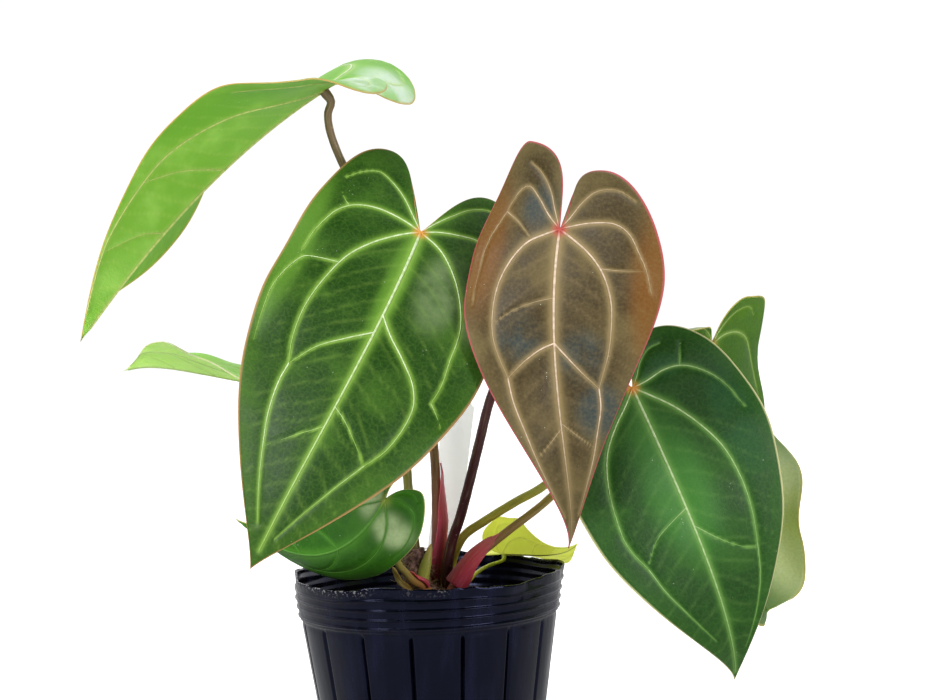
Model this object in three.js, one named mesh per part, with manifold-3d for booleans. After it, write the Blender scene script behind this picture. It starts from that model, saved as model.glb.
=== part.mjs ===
// A potted anthurium hybrid: eight velvety heart-shaped leaves on slim stalks, growing from a
// short crown in a thin black nursery pot. Millimetres, +Z up, the origin at the middle of the
// pot's base. The viewer of the plant's front looks along +Y, with +X to the right.

import * as THREE from 'three';
import { mergeVertices } from 'three/addons/utils/BufferGeometryUtils.js';
import Module from 'manifold-3d';

const wasm = await Module();
wasm.setup();

// Clearance between pieces that touch on the real plant
const SEAT_GAP = 0.3;

// Pot: blow-moulded polyethylene, 10.5 cm across the rim
const POT = {
  height: 90,
  rimRadius: 52.5,
  baseRadius: 38,
  wall: 1.0,
  floor: 1.2,
  collarHeight: 16,
  collarStep: 0.7,
  ridgeDrops: [4.4, 7.8, 11.3, 14.6],
  ridgeHeight: 0.55,
  ridgeHalfWidth: 0.6,
  grooves: 16,
  firstGroove: -97,
  grooveDepth: 1.5,
  grooveHalfWidth: 1.25,
  panelBulge: 0.35,
  rimWave: 0.7,
  holeCount: 8,
  holeRadius: 3.2,
  holeCircle: 27,
};

// Potting mix: its level below the rim, the height of its lumps, how much lower it lies at the
// wall, and the rings that its top is made of, as shares of the way out
const SOIL = { drop: 15, relief: 1.6, edgeDrop: 2, rings: [1, 0.8, 0.58, 0.34] };

// Crown: the short stem that every stalk grows from, with the height, the radius and the middle's
// x at each old ring. Its top leans to the left.
const CROWN = {
  y: -2,
  sides: 12,
  knob: 0.5,
  profile: [[58, 4, 2], [63, 7, 2], [70, 8.6, 2], [74, 10, 2], [76, 9.2, 2], [79, 10, 1.5],
    [82, 9, 0.5], [84.3, 7.6, -1.2], [85.2, 5.4, -3.9], [91, 5, -4.4], [96, 4.2, -4.8],
    [99, 3.5, -4.8]],
};

// Sides of a stalk, and its steps for each of the points that it runs through
const STALK_SIDES = 8;
const STALK_STEPS = 2;

// Blades, with lengths as shares of a blade's own size. The lobes' middle line runs a little past
// them. Roll starts and ends at shares of the length. The margin ruffles a number of times along
// it, out of step between the halves. Rows reach the midrib only ahead of fanStart.
const BLADE = {
  thickness: 0.8,
  lobeOverrun: 1.05,
  lobeRound: 0.55,
  sinusPull: 0.45,
  rollStart: 0.3,
  rollEnd: 0.75,
  ruffles: 3.5,
  ruffleStart: { right: 3, left: 1 },
  fanStart: 0.14,
  spineSteps: 24,
  lobeSteps: 10,
};
const LARGE_LEAF = { length: 60, pieces: [11, 7, 7], across: 4 };
const SMALL_LEAF = { pieces: [8, 5, 5], across: 3 };

// Leaves. Each has its sinus (where the stalk meets the blade), the way its upper face looks
// (facing is the compass angle from +X, tilt the angle above the horizon), and the turn of its tip
// in the blade's own plane from straight down. Arch, tipCurl, sweep, twist and foldTip are the
// degrees that the blade bends, curls at its tip, leans sideways, twists and folds over its
// length. Each half has its width, the share of the length where it is widest, the length of its
// basal lobe and where along the width that lobe ends, the half angle of the gap between the
// lobes, and the degrees that it folds up from the midrib, cups, rolls over at the tip end and
// droops at the lobe. Taper, swell, point, shoulder and notch set the roundness of the outline.
const LEAVES = {
  leaf_top_left: {
    sinus: [-31, -18, 276], facing: 160, tilt: 61.5, spin: 9.5, length: 138,
    arch: 47, tipCurl: 1.5, sweep: 27.5, twist: -38.5, foldTip: 43,
    taper: 0.25, swell: 0.2, point: 0.23, shoulder: 0.62, notch: 0.9, wave: 0.8,
    right: {
      width: 49, widest: 0.165, lobe: 32, lobeAt: 0.47, gap: 19,
      fold: -13.5, cup: 8.5, roll: -19.5, droop: -54,
    },
    left: {
      width: 48, widest: 0.37, lobe: 21, lobeAt: 0.45, gap: 6.5,
      fold: 33.5, cup: -24, roll: -74, droop: -106,
    },
    color: 0x8fbf55,
  },
  leaf_front_left: {
    sinus: [3, -45, 219], facing: -74, tilt: 38, spin: -27, length: 143,
    arch: 17, tipCurl: 26, sweep: -14, twist: -11, foldTip: -2,
    taper: 0.13, swell: 0.53, point: 0.13, shoulder: 0.7, notch: 0.52, wave: 1,
    right: {
      width: 41.5, widest: 0.3, lobe: 31, lobeAt: 0.55, gap: 23,
      fold: -7, cup: -12, roll: 0, droop: 0,
    },
    left: {
      width: 43.5, widest: 0.28, lobe: 36, lobeAt: 0.48, gap: 31,
      fold: -2, cup: 1, roll: 0, droop: -2,
    },
    color: 0x2f5a22,
  },
  leaf_front_right: {
    sinus: [52.5, -64, 217.5], facing: -109, tilt: 19, spin: -6, length: 126,
    arch: 34, tipCurl: 37, sweep: 28, twist: 57, foldTip: 19,
    taper: 0.38, swell: 0.25, point: 0.09, shoulder: 0.45, notch: 1.09, wave: 1,
    right: {
      width: 38.5, widest: 0.14, lobe: 22.5, lobeAt: 0.38, gap: 33,
      fold: 0, cup: -7, roll: 0, droop: 22,
    },
    left: {
      width: 32, widest: 0.2, lobe: 30, lobeAt: 0.57, gap: 8,
      fold: -2, cup: -11, roll: 0, droop: 24,
    },
    color: 0x6b5a3c,
  },
  leaf_right: {
    sinus: [78.5, -37, 159.5], facing: -79, tilt: 20, spin: 18, length: 126.5,
    arch: 23, tipCurl: 43, sweep: 5, twist: 0, foldTip: 5,
    taper: 0.27, swell: 0.46, point: 0.1, shoulder: 0.54, notch: 0.55, wave: 0.8,
    right: {
      width: 42.5, widest: 0.19, lobe: 18.5, lobeAt: 0.41, gap: 20,
      fold: 5, cup: -2, roll: 0, droop: -4,
    },
    left: {
      width: 38.5, widest: 0.24, lobe: 30.5, lobeAt: 0.5, gap: 20,
      fold: -5, cup: -4, roll: 0, droop: 0,
    },
    color: 0x2f6a2c,
  },
  leaf_back_right: {
    sinus: [113.5, 0.5, 174], facing: -58, tilt: -3, spin: -5, length: 110,
    arch: -8, tipCurl: -7, sweep: 29, twist: 7, foldTip: 24,
    taper: 0.04, swell: 1.26, point: 0.1, shoulder: 1.12, notch: 0.55, wave: 0.8,
    right: {
      width: 35, widest: 0.1, lobe: 20, lobeAt: 0.4, gap: 20,
      fold: -10, cup: -17, roll: 143, droop: 31,
    },
    left: {
      width: 39, widest: 0.25, lobe: 14, lobeAt: 0.5, gap: 20,
      fold: 9, cup: 9, roll: -1, droop: 103,
    },
    color: 0x3f7a4a,
  },
  leaf_low_left: {
    sinus: [-13.5, -49, 123], facing: -134, tilt: 13, spin: -27, length: 82.5,
    arch: 16, tipCurl: -16, sweep: -107, twist: 39, foldTip: -8,
    taper: 0.25, swell: 0.51, point: 0.13, shoulder: 0.62, notch: 0.55, wave: 0.6,
    right: {
      width: 18, widest: 0.16, lobe: 8, lobeAt: 0.61, gap: 20,
      fold: -21, cup: -32, roll: 1, droop: -5,
    },
    left: {
      width: 23.5, widest: 0.27, lobe: 17, lobeAt: 0.4, gap: 17,
      fold: -15, cup: -3, roll: 0, droop: -89,
    },
    color: 0x4c8a35,
  },
  leaf_back_left: {
    sinus: [-54.5, 14, 163], facing: 112, tilt: 102, spin: 53, length: 82.5,
    arch: -9, tipCurl: 31, sweep: -27, twist: -5, foldTip: 49,
    taper: 0.35, swell: 0.55, point: 0.1, shoulder: 0.55, notch: 0.55, wave: 0.6,
    right: {
      width: 27.5, widest: 0.25, lobe: 15, lobeAt: 0.5, gap: 20,
      fold: 13, cup: -2, roll: -7, droop: 0,
    },
    left: {
      width: 20.5, widest: 0.25, lobe: 15, lobeAt: 0.5, gap: 20,
      fold: 1, cup: -35, roll: 0, droop: 0,
    },
    color: 0x7fb45a,
  },
  leaf_young: {
    sinus: [29.5, 25.5, 92], facing: -97, tilt: 96, spin: 87, length: 34.5,
    arch: 14, tipCurl: -51, sweep: -31, twist: 5, foldTip: -27,
    taper: 0.35, swell: 0.55, point: 0.1, shoulder: 0.55, notch: 0.55, wave: 0.3,
    right: {
      width: 18, widest: 0.28, lobe: 9, lobeAt: 0.5, gap: 20,
      fold: 1, cup: 8, roll: -8, droop: -14,
    },
    left: {
      width: 20.5, widest: 0.25, lobe: 8.5, lobeAt: 0.5, gap: 20,
      fold: 34, cup: 35, roll: -23, droop: 7,
    },
    color: 0xb5c934,
  },
};

// Stalks: the points that each runs through, chosen by hand, from its socket in the crown to just
// below its leaf, and its radius at the foot and at the leaf. The last stretch is worked out, so
// that it meets the blade square on at the sinus.
const STALKS = {
  stalk_top_left: {
    leaf: 'leaf_top_left', radii: [1.9, 1.5], color: 0x6b6a35,
    points: [[1.5, 4.5, 78], [3.4, 4, 99], [4.2, 4, 120], [4.1, 4, 134], [2, 2, 160],
      [-5, -2, 195], [-15, -6, 225], [-27, -10, 249], [-30.8, -13, 261], [-31, -15, 267]],
  },
  stalk_front_left: {
    leaf: 'leaf_front_left', radii: [1.9, 1.5], color: 0x74803a,
    points: [[-5, -0.5, 78], [-4.2, -1, 90], [-5, -2, 105], [-6.4, -5, 125], [-6, -12, 160],
      [-3, -22, 188], [0, -34, 207]],
  },
  stalk_front_right: {
    leaf: 'leaf_front_right', radii: [2.1, 1.5], color: 0x4a2626,
    points: [[5.5, -4, 78], [9.3, -4, 99.9], [13.2, -7, 110.6], [17.6, -12, 125.5],
      [21.9, -19, 141.2], [26.2, -26, 156.5], [36, -36, 180], [46, -48, 202]],
  },
  stalk_right: {
    leaf: 'leaf_right', radii: [1.8, 1.5], color: 0x7c8238,
    points: [[6, 1.5, 78], [8.4, 1.4, 90], [14.1, 0, 102.4], [22.8, -3, 108.7], [34.5, -9, 116.1],
      [46, -16, 123], [60, -21, 137], [72, -26, 151]],
  },
  stalk_back_right: {
    leaf: 'leaf_back_right', radii: [1.7, 1.3], color: 0x76702f,
    points: [[6.5, -8.5, 78], [9.2, -11, 83.5], [13.2, -11, 89.1], [19.6, -11, 96.2],
      [30.3, -11, 104.6], [47.9, -10, 117.4], [70, -3, 140], [90, 6, 160], [105, 11, 171]],
  },
  stalk_low_left: {
    leaf: 'leaf_low_left', radii: [1.5, 1.3], color: 0x83792f,
    points: [[1.5, -9.5, 78], [-1.1, -12, 85.2], [-5.4, -17, 88.6], [-8.1, -23, 92.8],
      [-10.3, -29, 97.1], [-10, -38, 108]],
  },
  stalk_back_left: {
    leaf: 'leaf_back_left', radii: [1.7, 1.3], color: 0x7a8a3c,
    points: [[-3, 4, 78], [-8, 8, 92], [-20, 13, 117], [-36, 15.5, 140], [-49, 16, 153]],
  },
  stalk_young: {
    leaf: 'leaf_young', radii: [0.9, 0.7], color: 0xb2ad4a,
    points: [[9.5, -0.5, 78.5], [13.3, 2, 82.8], [16.2, 8, 84.6], [19.5, 15, 86.5], [24, 21, 88]],
  },
};

// Sheaths: thin papery wraps round the foot of a stalk. Each covers a stretch of its stalk, given
// as heights, stands off it by the radii from its foot to its tip, and reaches round it from the
// way that it faces by the half angles at its foot and tip.
const SHEATHS = {
  sheath_top_left: {
    stalk: 'stalk_top_left', low: 85.6, high: 131,
    radii: [3, 4.6, 2.2], halfAngles: [105, 16], facing: [0.97, -0.25, 0],
  },
  sheath_back_right: {
    stalk: 'stalk_back_right', low: 85.4, high: 103,
    radii: [4.2, 3.6, 2], halfAngles: [105, 20], facing: [-0.35, -0.75, 0.55],
  },
  sheath_low_left: {
    stalk: 'stalk_low_left', low: 85.4, high: 90.5,
    radii: [2.6, 2.4, 2], halfAngles: [80, 25], facing: [0.5, 0.2, 0.9],
  },
};
const SHEATH_GRID = { steps: 7, spread: 5, samples: 400 };
const SHEATH_THICKNESS = 0.7;
const SHEATH_COLOR = 0xa03040;

// New growth: an olive bud, and a pale spent bract beside it
const GROWTH_STEPS = 8;
const BUD = {
  points: [[-2.5, -5, 79], [-1.9, -6.4, 88], [0, -6.9, 95], [1.7, -7, 101]],
  radii: [1.9, 2.6, 2.1, 0.7],
  sides: 10,
};
const BRACT = {
  points: [[-5, -7.2, 79], [-7.5, -10, 84.5], [-10.4, -14.6, 88], [-12.7, -20, 94.4]],
  radii: [1.1, 1.2, 1.2, 0.6],
  sides: 6,
};

// Plant tag: a blank white strip, pointed below, that leans to the right
const TAG = {
  foot: [-1, 13, 52], length: 104, width: 12, thickness: 0.8, point: 12, corner: 2, lean: 8.7,
};

// Small helpers

const toRadians = THREE.MathUtils.degToRad;
const point = ([x, y, z]) => new THREE.Vector3(x, y, z);
const mix = THREE.MathUtils.lerp;

// The value at a share of the way through a list of evenly spaced values
function runThrough(values, share) {
  const along = share * (values.length - 1);
  const whole = Math.min(Math.floor(along), values.length - 2);
  return mix(values[whole], values[whole + 1], along - whole);
}

function solidGeometry(vertices, triangles) {
  const geometry = new THREE.BufferGeometry();
  const numbers = vertices.flatMap((vertex) => [vertex.x, vertex.y, vertex.z]);
  geometry.setAttribute('position', new THREE.Float32BufferAttribute(numbers, 3));
  geometry.setIndex(triangles.flat());
  return geometry;
}

// Closed skin over a stack of rings, each with the same number of points, anticlockwise when seen
// from the last ring's end. Both ends are closed with a fan to a middle point.
function skinRings(rings, firstMiddle, lastMiddle) {
  const count = rings[0].length;
  const vertices = [...rings.flat(), firstMiddle, lastMiddle];
  const first = vertices.length - 2;
  const last = vertices.length - 1;
  const top = (rings.length - 1) * count;
  const triangles = [];
  for (let j = 0; j < count; j++) {
    const k = (j + 1) % count;
    for (let i = 0; i < rings.length - 1; i++) {
      const low = i * count;
      const high = low + count;
      triangles.push([low + j, low + k, high + k], [low + j, high + k, high + j]);
    }
    triangles.push([first, k, j], [last, top + j, top + k]);
  }
  return solidGeometry(vertices, triangles);
}

// Gives a surface its thickness: both faces carry the same triangles, and the edge gets a wall.
function thicken(vertices, normals, triangles, thickness) {
  const half = thickness / 2;
  const upper = vertices.map((vertex, i) => vertex.clone().addScaledVector(normals[i], half));
  const lower = vertices.map((vertex, i) => vertex.clone().addScaledVector(normals[i], -half));
  const count = vertices.length;
  const faces = [];
  const edges = new Map();
  for (const [a, b, c] of triangles) {
    faces.push([a, b, c], [count + a, count + c, count + b]);
    for (const [from, to] of [[a, b], [b, c], [c, a]]) {
      if (edges.has(`${to}_${from}`)) edges.delete(`${to}_${from}`);
      else edges.set(`${from}_${to}`, [from, to]);
    }
  }
  for (const [from, to] of edges.values()) {
    faces.push([to, from, count + from], [to, count + from, count + to]);
  }
  return solidGeometry([...upper, ...lower], faces);
}

// Round tube through points, with a radius that runs smoothly through the list given
function tubeGeometry(points, radii, steps, sides, extra = 0) {
  const curve = new THREE.CatmullRomCurve3(points, false, 'centripetal');
  const frames = curve.computeFrenetFrames(steps);
  const rings = [];
  for (let i = 0; i <= steps; i++) {
    const radius = runThrough(radii, i / steps) + extra;
    const centre = curve.getPointAt(i / steps);
    if (i === 0) centre.addScaledVector(frames.tangents[0], -extra);
    const ring = [];
    for (let j = 0; j < sides; j++) {
      const angle = (2 * Math.PI * j) / sides;
      ring.push(centre.clone()
        .addScaledVector(frames.normals[i], radius * Math.cos(angle))
        .addScaledVector(frames.binormals[i], radius * Math.sin(angle)));
    }
    rings.push(ring);
  }
  const start = curve.getPointAt(0).addScaledVector(frames.tangents[0], -extra);
  return skinRings(rings, start, curve.getPointAt(1));
}

// Booleans

function toSolid(geometry) {
  const bare = geometry.clone();
  bare.deleteAttribute('normal');
  bare.deleteAttribute('uv');
  const merged = mergeVertices(bare, 1e-5);
  return new wasm.Manifold(new wasm.Mesh({
    numProp: 3,
    vertProperties: new Float32Array(merged.attributes.position.array),
    triVerts: new Uint32Array(merged.index.array),
  }));
}

function toGeometry(solid) {
  const { vertProperties, triVerts } = solid.getMesh();
  const geometry = new THREE.BufferGeometry();
  geometry.setAttribute('position', new THREE.BufferAttribute(vertProperties, 3));
  geometry.setIndex(new THREE.BufferAttribute(triVerts, 1));
  return geometry;
}

function cutAway(geometry, tools) {
  let solid = toSolid(geometry);
  for (const tool of tools) solid = solid.subtract(toSolid(tool));
  return toGeometry(solid);
}

// Pot

// The angles of a ring's corners, in degrees, each with how far the wall is pressed in there: 1 at
// the bottom of a groove, 0 at its edges, and a little outwards at the middle of a panel
const grooveStep = 360 / POT.grooves;
const potAngles = [];
for (let groove = 0; groove < POT.grooves; groove++) {
  const middle = POT.firstGroove + groove * grooveStep;
  potAngles.push([middle - POT.grooveHalfWidth, 0], [middle, 1], [middle + POT.grooveHalfWidth, 0]);
  potAngles.push([middle + grooveStep / 2, -POT.panelBulge / POT.grooveDepth]);
}

const collarFoot = POT.height - POT.collarHeight;

function coneRadius(z) {
  return mix(POT.baseRadius, POT.rimRadius - POT.collarStep, z / POT.height);
}

function potRing(z, offset, groove, wave) {
  return potAngles.map(([angle, depth]) => {
    const turn = toRadians(angle);
    const ripple = wave * POT.rimWave;
    const radius = coneRadius(z) + offset - groove * depth * POT.grooveDepth
      + ripple * (Math.sin(5 * turn + 1) + 0.6 * Math.sin(11 * turn));
    const height = z + ripple * (0.8 * Math.sin(4 * turn + 2) + 0.5 * Math.sin(9 * turn));
    return new THREE.Vector3(radius * Math.cos(turn), radius * Math.sin(turn), height);
  });
}

function potGeometry() {
  const outside = [[0, -1, 1], [1.5, 0, 1], [collarFoot - 3, 0, 1], [collarFoot - 0.5, 0, 0],
    [collarFoot, POT.collarStep, 0]];
  for (const drop of [...POT.ridgeDrops].reverse()) {
    const z = POT.height - drop;
    outside.push([z - POT.ridgeHalfWidth, POT.collarStep, 0],
      [z, POT.collarStep + POT.ridgeHeight, 0], [z + POT.ridgeHalfWidth, POT.collarStep, 0]);
  }
  outside.push([POT.height, POT.collarStep, 0]);
  const inside = [[POT.height, POT.collarStep - POT.wall, 0],
    [collarFoot + 0.4, POT.collarStep - POT.wall, 0], [collarFoot - 0.8, -POT.wall, 0],
    [collarFoot - 3.4, -POT.wall, 1], [POT.floor + 1.2, -POT.wall, 1],
    [POT.floor, -POT.wall - 1, 1]];
  const waveAt = (z) => THREE.MathUtils.smoothstep(z, POT.height - 9, POT.height);
  const rings = [...outside, ...inside]
    .map(([z, offset, groove]) => potRing(z, offset, groove, waveAt(z)));
  const shell = skinRings(rings, new THREE.Vector3(0, 0, 0), new THREE.Vector3(0, 0, POT.floor));
  const holes = [];
  for (let i = 0; i < POT.holeCount; i++) {
    const turn = (2 * Math.PI * i) / POT.holeCount;
    const hole = new THREE.CylinderGeometry(POT.holeRadius, POT.holeRadius, 5 * POT.floor, 8);
    hole.rotateX(Math.PI / 2);
    hole.translate(POT.holeCircle * Math.cos(turn), POT.holeCircle * Math.sin(turn), 0);
    holes.push(hole);
  }
  return cutAway(shell, holes);
}

// Potting mix: fills the pot, its top lumpy with bark
const soilTop = POT.height - SOIL.drop;

function lumps(x, y) {
  return Math.sin(x * 0.55 + 1.3) * Math.cos(y * 0.62) + 0.7 * Math.sin(x * 0.31 - y * 0.83);
}

function soilGeometry(tools) {
  const inset = -POT.wall - SEAT_GAP - 0.1;
  const foot = POT.floor + SEAT_GAP;
  const rings = [potRing(foot, inset - 1.2, 1, 0), potRing(POT.floor + 1.6, inset, 1, 0),
    potRing(collarFoot - 3.6, inset, 1, 0)];
  const edge = potRing(soilTop - SOIL.edgeDrop, inset - 0.4, 1, 0);
  for (const share of SOIL.rings) {
    rings.push(edge.map((corner) => {
      const x = corner.x * share;
      const y = corner.y * share;
      const level = soilTop - SOIL.edgeDrop * share ** 2;
      return new THREE.Vector3(x, y, level + SOIL.relief * lumps(x, y) * (1 - share ** 6));
    }));
  }
  const body = skinRings(rings, new THREE.Vector3(0, 0, foot), new THREE.Vector3(0, 0, soilTop));
  return cutAway(body, tools);
}

// Crown: a knobbly stub with the rings of old stalks, and sockets for the living ones
function crownGeometry(extra, tools) {
  const rings = CROWN.profile.map(([z, radius, x], i) => {
    const middle = new THREE.Vector3(x, CROWN.y, i === 0 ? z - extra : z + extra);
    return Array.from({ length: CROWN.sides }, (_, j) => {
      const turn = (2 * Math.PI * j) / CROWN.sides;
      const reach = radius + extra + (i === 0 ? 0 : CROWN.knob * Math.sin(3 * turn + i * 1.7));
      return middle.clone().add(new THREE.Vector3(Math.cos(turn), Math.sin(turn), 0).multiplyScalar(reach));
    });
  });
  const [foot, , footX] = CROWN.profile[0];
  const [top, , topX] = CROWN.profile.at(-1);
  const body = skinRings(rings, new THREE.Vector3(footX, CROWN.y, foot - extra),
    new THREE.Vector3(topX, CROWN.y, top + extra + CROWN.knob));
  return cutAway(body, tools);
}

// Leaf blades

// Half of the flat outline, from the tip through the widest place and the lobe to the sinus
function halfOutline(leaf, side, pieces) {
  const half = leaf[side];
  const { length } = leaf;
  const { width, lobe } = half;
  const widest = half.widest * length;
  const lobeAt = half.lobeAt * width;
  const gap = toRadians(half.gap);
  const pull = BLADE.sinusPull * lobe;
  const spans = [
    [[0, length], [leaf.point * width, length - leaf.taper * (length - widest)],
      [width, widest + leaf.swell * (length - widest)], [width, widest]],
    [[width, widest], [width, widest - leaf.shoulder * (widest + lobe)],
      [mix(lobeAt, width, BLADE.lobeRound), -lobe], [lobeAt, -lobe]],
    [[lobeAt, -lobe], [lobeAt * (1 - leaf.notch), -lobe],
      [pull * Math.sin(gap), -pull * Math.cos(gap)], [0, 0]],
  ];
  const outline = [new THREE.Vector2(0, length)];
  spans.forEach((corners, i) => {
    const curve = new THREE.CubicBezierCurve(...corners.map(([x, y]) => new THREE.Vector2(x, y)));
    outline.push(...curve.getPoints(pieces[i]).slice(1));
  });
  return outline;
}

// Walks along a blade's middle line in small steps, and keeps its place and its frame: along,
// the upper face's normal, and across to the right half
function walkSpine(leaf, start, sign, reach, steps, bendAt) {
  const stations = [start];
  const step = reach / steps;
  let { place, along, normal, across } = start;
  for (let i = 0; i < steps; i++) {
    const bend = sign * step * bendAt((i + 0.5) * step);
    const lean = (sign * step * toRadians(leaf.sweep)) / leaf.length;
    const turn = (sign * step * toRadians(leaf.twist)) / leaf.length;
    const flat = along.clone().multiplyScalar(Math.cos(bend)).addScaledVector(normal, -Math.sin(bend));
    const risen = normal.clone().multiplyScalar(Math.cos(bend)).addScaledVector(along, Math.sin(bend));
    along = flat.clone().multiplyScalar(Math.cos(lean)).addScaledVector(across, Math.sin(lean));
    const aside = across.clone().multiplyScalar(Math.cos(lean)).addScaledVector(flat, -Math.sin(lean));
    normal = risen.multiplyScalar(Math.cos(turn)).addScaledVector(aside, Math.sin(turn));
    along.normalize();
    normal.addScaledVector(along, -along.dot(normal)).normalize();
    across = new THREE.Vector3().crossVectors(normal, along);
    place = place.clone().addScaledVector(along, sign * step);
    stations.push({ place, along, normal, across });
  }
  return stations;
}

function between(stations, at) {
  const i = Math.min(Math.max(Math.floor(at), 0), stations.length - 2);
  const share = Math.min(Math.max(at - i, 0), 1);
  const blend = (key) => stations[i][key].clone().lerp(stations[i + 1][key], share);
  return { place: blend('place'), normal: blend('normal'), across: blend('across') };
}

// The blade's middle surface: a function from the flat leaf (x across, y along) to its place
function bladeSurface(leaf) {
  const { length } = leaf;
  const facing = toRadians(leaf.facing);
  const tilt = toRadians(leaf.tilt);
  const spin = toRadians(leaf.spin);
  const ahead = new THREE.Vector3(Math.cos(facing), Math.sin(facing), 0);
  const up = new THREE.Vector3(0, 0, 1);
  const normal = ahead.clone().multiplyScalar(Math.cos(tilt)).addScaledVector(up, Math.sin(tilt));
  const down = ahead.clone().multiplyScalar(Math.sin(tilt)).addScaledVector(up, -Math.cos(tilt));
  const level = new THREE.Vector3().crossVectors(normal, down);
  const along = down.multiplyScalar(Math.cos(spin)).addScaledVector(level, Math.sin(spin));
  const across = new THREE.Vector3().crossVectors(normal, along);
  const start = { place: point(leaf.sinus), along, normal, across };
  const arch = toRadians(leaf.arch) / length;
  const curl = (3 * toRadians(leaf.tipCurl)) / length ** 3;
  const front = walkSpine(leaf, start, 1, length, BLADE.spineSteps, (s) => arch + curl * s ** 2);
  const lobes = {};
  for (const side of ['right', 'left']) {
    const reach = leaf[side].lobe * BLADE.lobeOverrun;
    const droop = -toRadians(leaf[side].droop) / reach;
    lobes[side] = walkSpine(leaf, start, -1, reach, BLADE.lobeSteps, () => droop);
  }
  return (x, y, side) => {
    const half = leaf[side];
    const out = Math.abs(x);
    const station = y >= 0 ? between(front, (y / length) * BLADE.spineSteps)
      : between(lobes[side], (-y / (half.lobe * BLADE.lobeOverrun)) * BLADE.lobeSteps);
    const share = THREE.MathUtils.clamp(y / length, 0, 1);
    const rolled = THREE.MathUtils.smoothstep(share, BLADE.rollStart, BLADE.rollEnd);
    const fold = toRadians(half.fold + leaf.foldTip * share);
    const cup = toRadians(half.cup + half.roll * rolled);
    const bow = (cup * out) / half.width / 2;
    const chord = out * (Math.abs(bow) < 1e-6 ? 1 : Math.sin(bow) / bow);
    const phase = (2 * Math.PI * BLADE.ruffles * y) / length + BLADE.ruffleStart[side];
    const ruffle = leaf.wave * (out / half.width) ** 2 * Math.sin(phase);
    return station.place.clone()
      .addScaledVector(station.across, (side === 'right' ? 1 : -1) * chord * Math.cos(fold + bow))
      .addScaledVector(station.normal, chord * Math.sin(fold + bow) + ruffle);
  };
}

function sideNormal(surface, x, y, side) {
  const nudge = 0.05;
  const sign = side === 'right' ? 1 : -1;
  const here = surface(x, y, side);
  const outward = surface(x + sign * nudge, y, side).sub(here).multiplyScalar(sign);
  const onward = surface(x, y + nudge, side).sub(here);
  return onward.cross(outward).normalize();
}

// On the midrib the two halves meet at a fold, and the normal is the mean of theirs
function surfaceNormal(surface, x, y, side) {
  if (x !== 0) return sideNormal(surface, x, y, side);
  return sideNormal(surface, 0, y, 'right').add(sideNormal(surface, 0, y, 'left')).normalize();
}

// Rows run from the midrib out to the margin, and from the last of them on they fan from the sinus
function bladeGeometry(leaf, { pieces, across }) {
  const surface = bladeSurface(leaf);
  const vertices = [];
  const normals = [];
  const triangles = [];
  const addVertex = (x, y, side) => {
    vertices.push(surface(x, y, side));
    normals.push(surfaceNormal(surface, x, y, side));
    return vertices.length - 1;
  };
  const fanStart = BLADE.fanStart * leaf.length;
  const sinus = pieces[0] + pieces[1];
  const rows = sinus + pieces[2];
  const rootHeights = Array.from({ length: sinus + 1 }, (_, i) => (i <= pieces[0]
    ? mix(leaf.length, fanStart, i / pieces[0]) : mix(fanStart, 0, (i - pieces[0]) / pieces[1])));
  const midrib = rootHeights.map((y) => addVertex(0, y, 'right'));
  for (const side of ['right', 'left']) {
    const sign = side === 'right' ? 1 : -1;
    const outline = halfOutline(leaf, side, pieces);
    const grid = [];
    for (let i = 0; i < rows; i++) {
      const root = Math.min(i, sinus);
      const row = [midrib[root]];
      for (let j = 1; j <= across && i > 0; j++) {
        const out = j / across;
        row.push(addVertex(sign * outline[i].x * out, mix(rootHeights[root], outline[i].y, out), side));
      }
      grid.push(row);
    }
    const add = (a, b, c) => {
      if (a !== b && b !== c && c !== a) triangles.push(side === 'right' ? [a, b, c] : [a, c, b]);
    };
    for (let i = 0; i < rows - 1; i++) {
      for (let j = 0; j < across; j++) {
        const a = grid[i][Math.min(j, grid[i].length - 1)];
        const b = grid[i][Math.min(j + 1, grid[i].length - 1)];
        const c = grid[i + 1][j + 1];
        const d = grid[i + 1][j];
        if ((i + j) % 2) {
          add(a, b, c);
          add(a, c, d);
        } else {
          add(a, b, d);
          add(b, c, d);
        }
      }
    }
  }
  return thicken(vertices, normals, triangles, BLADE.thickness);
}

// Stalks

// The last two points bring the stalk's end square to the underside of its blade, at the sinus
function stalkPoints(stalk) {
  const leaf = LEAVES[stalk.leaf];
  const surface = bladeSurface(leaf);
  const radius = stalk.radii[1];
  const seat = surface(0, radius, 'right');
  const up = surfaceNormal(surface, 0, radius, 'right');
  const fold = Math.max(0, -leaf.right.fold, -leaf.left.fold);
  const clear = BLADE.thickness / 2 + SEAT_GAP + radius * Math.tan(toRadians(fold));
  return [...stalk.points.map(point), seat.clone().addScaledVector(up, -3.5 * radius),
    seat.clone().addScaledVector(up, -clear)];
}

function stalkGeometry(stalk, extra = 0) {
  const points = stalkPoints(stalk);
  const steps = Math.round(STALK_STEPS * points.length);
  return tubeGeometry(points, stalk.radii, steps, STALK_SIDES, extra);
}

// Sheaths

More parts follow.
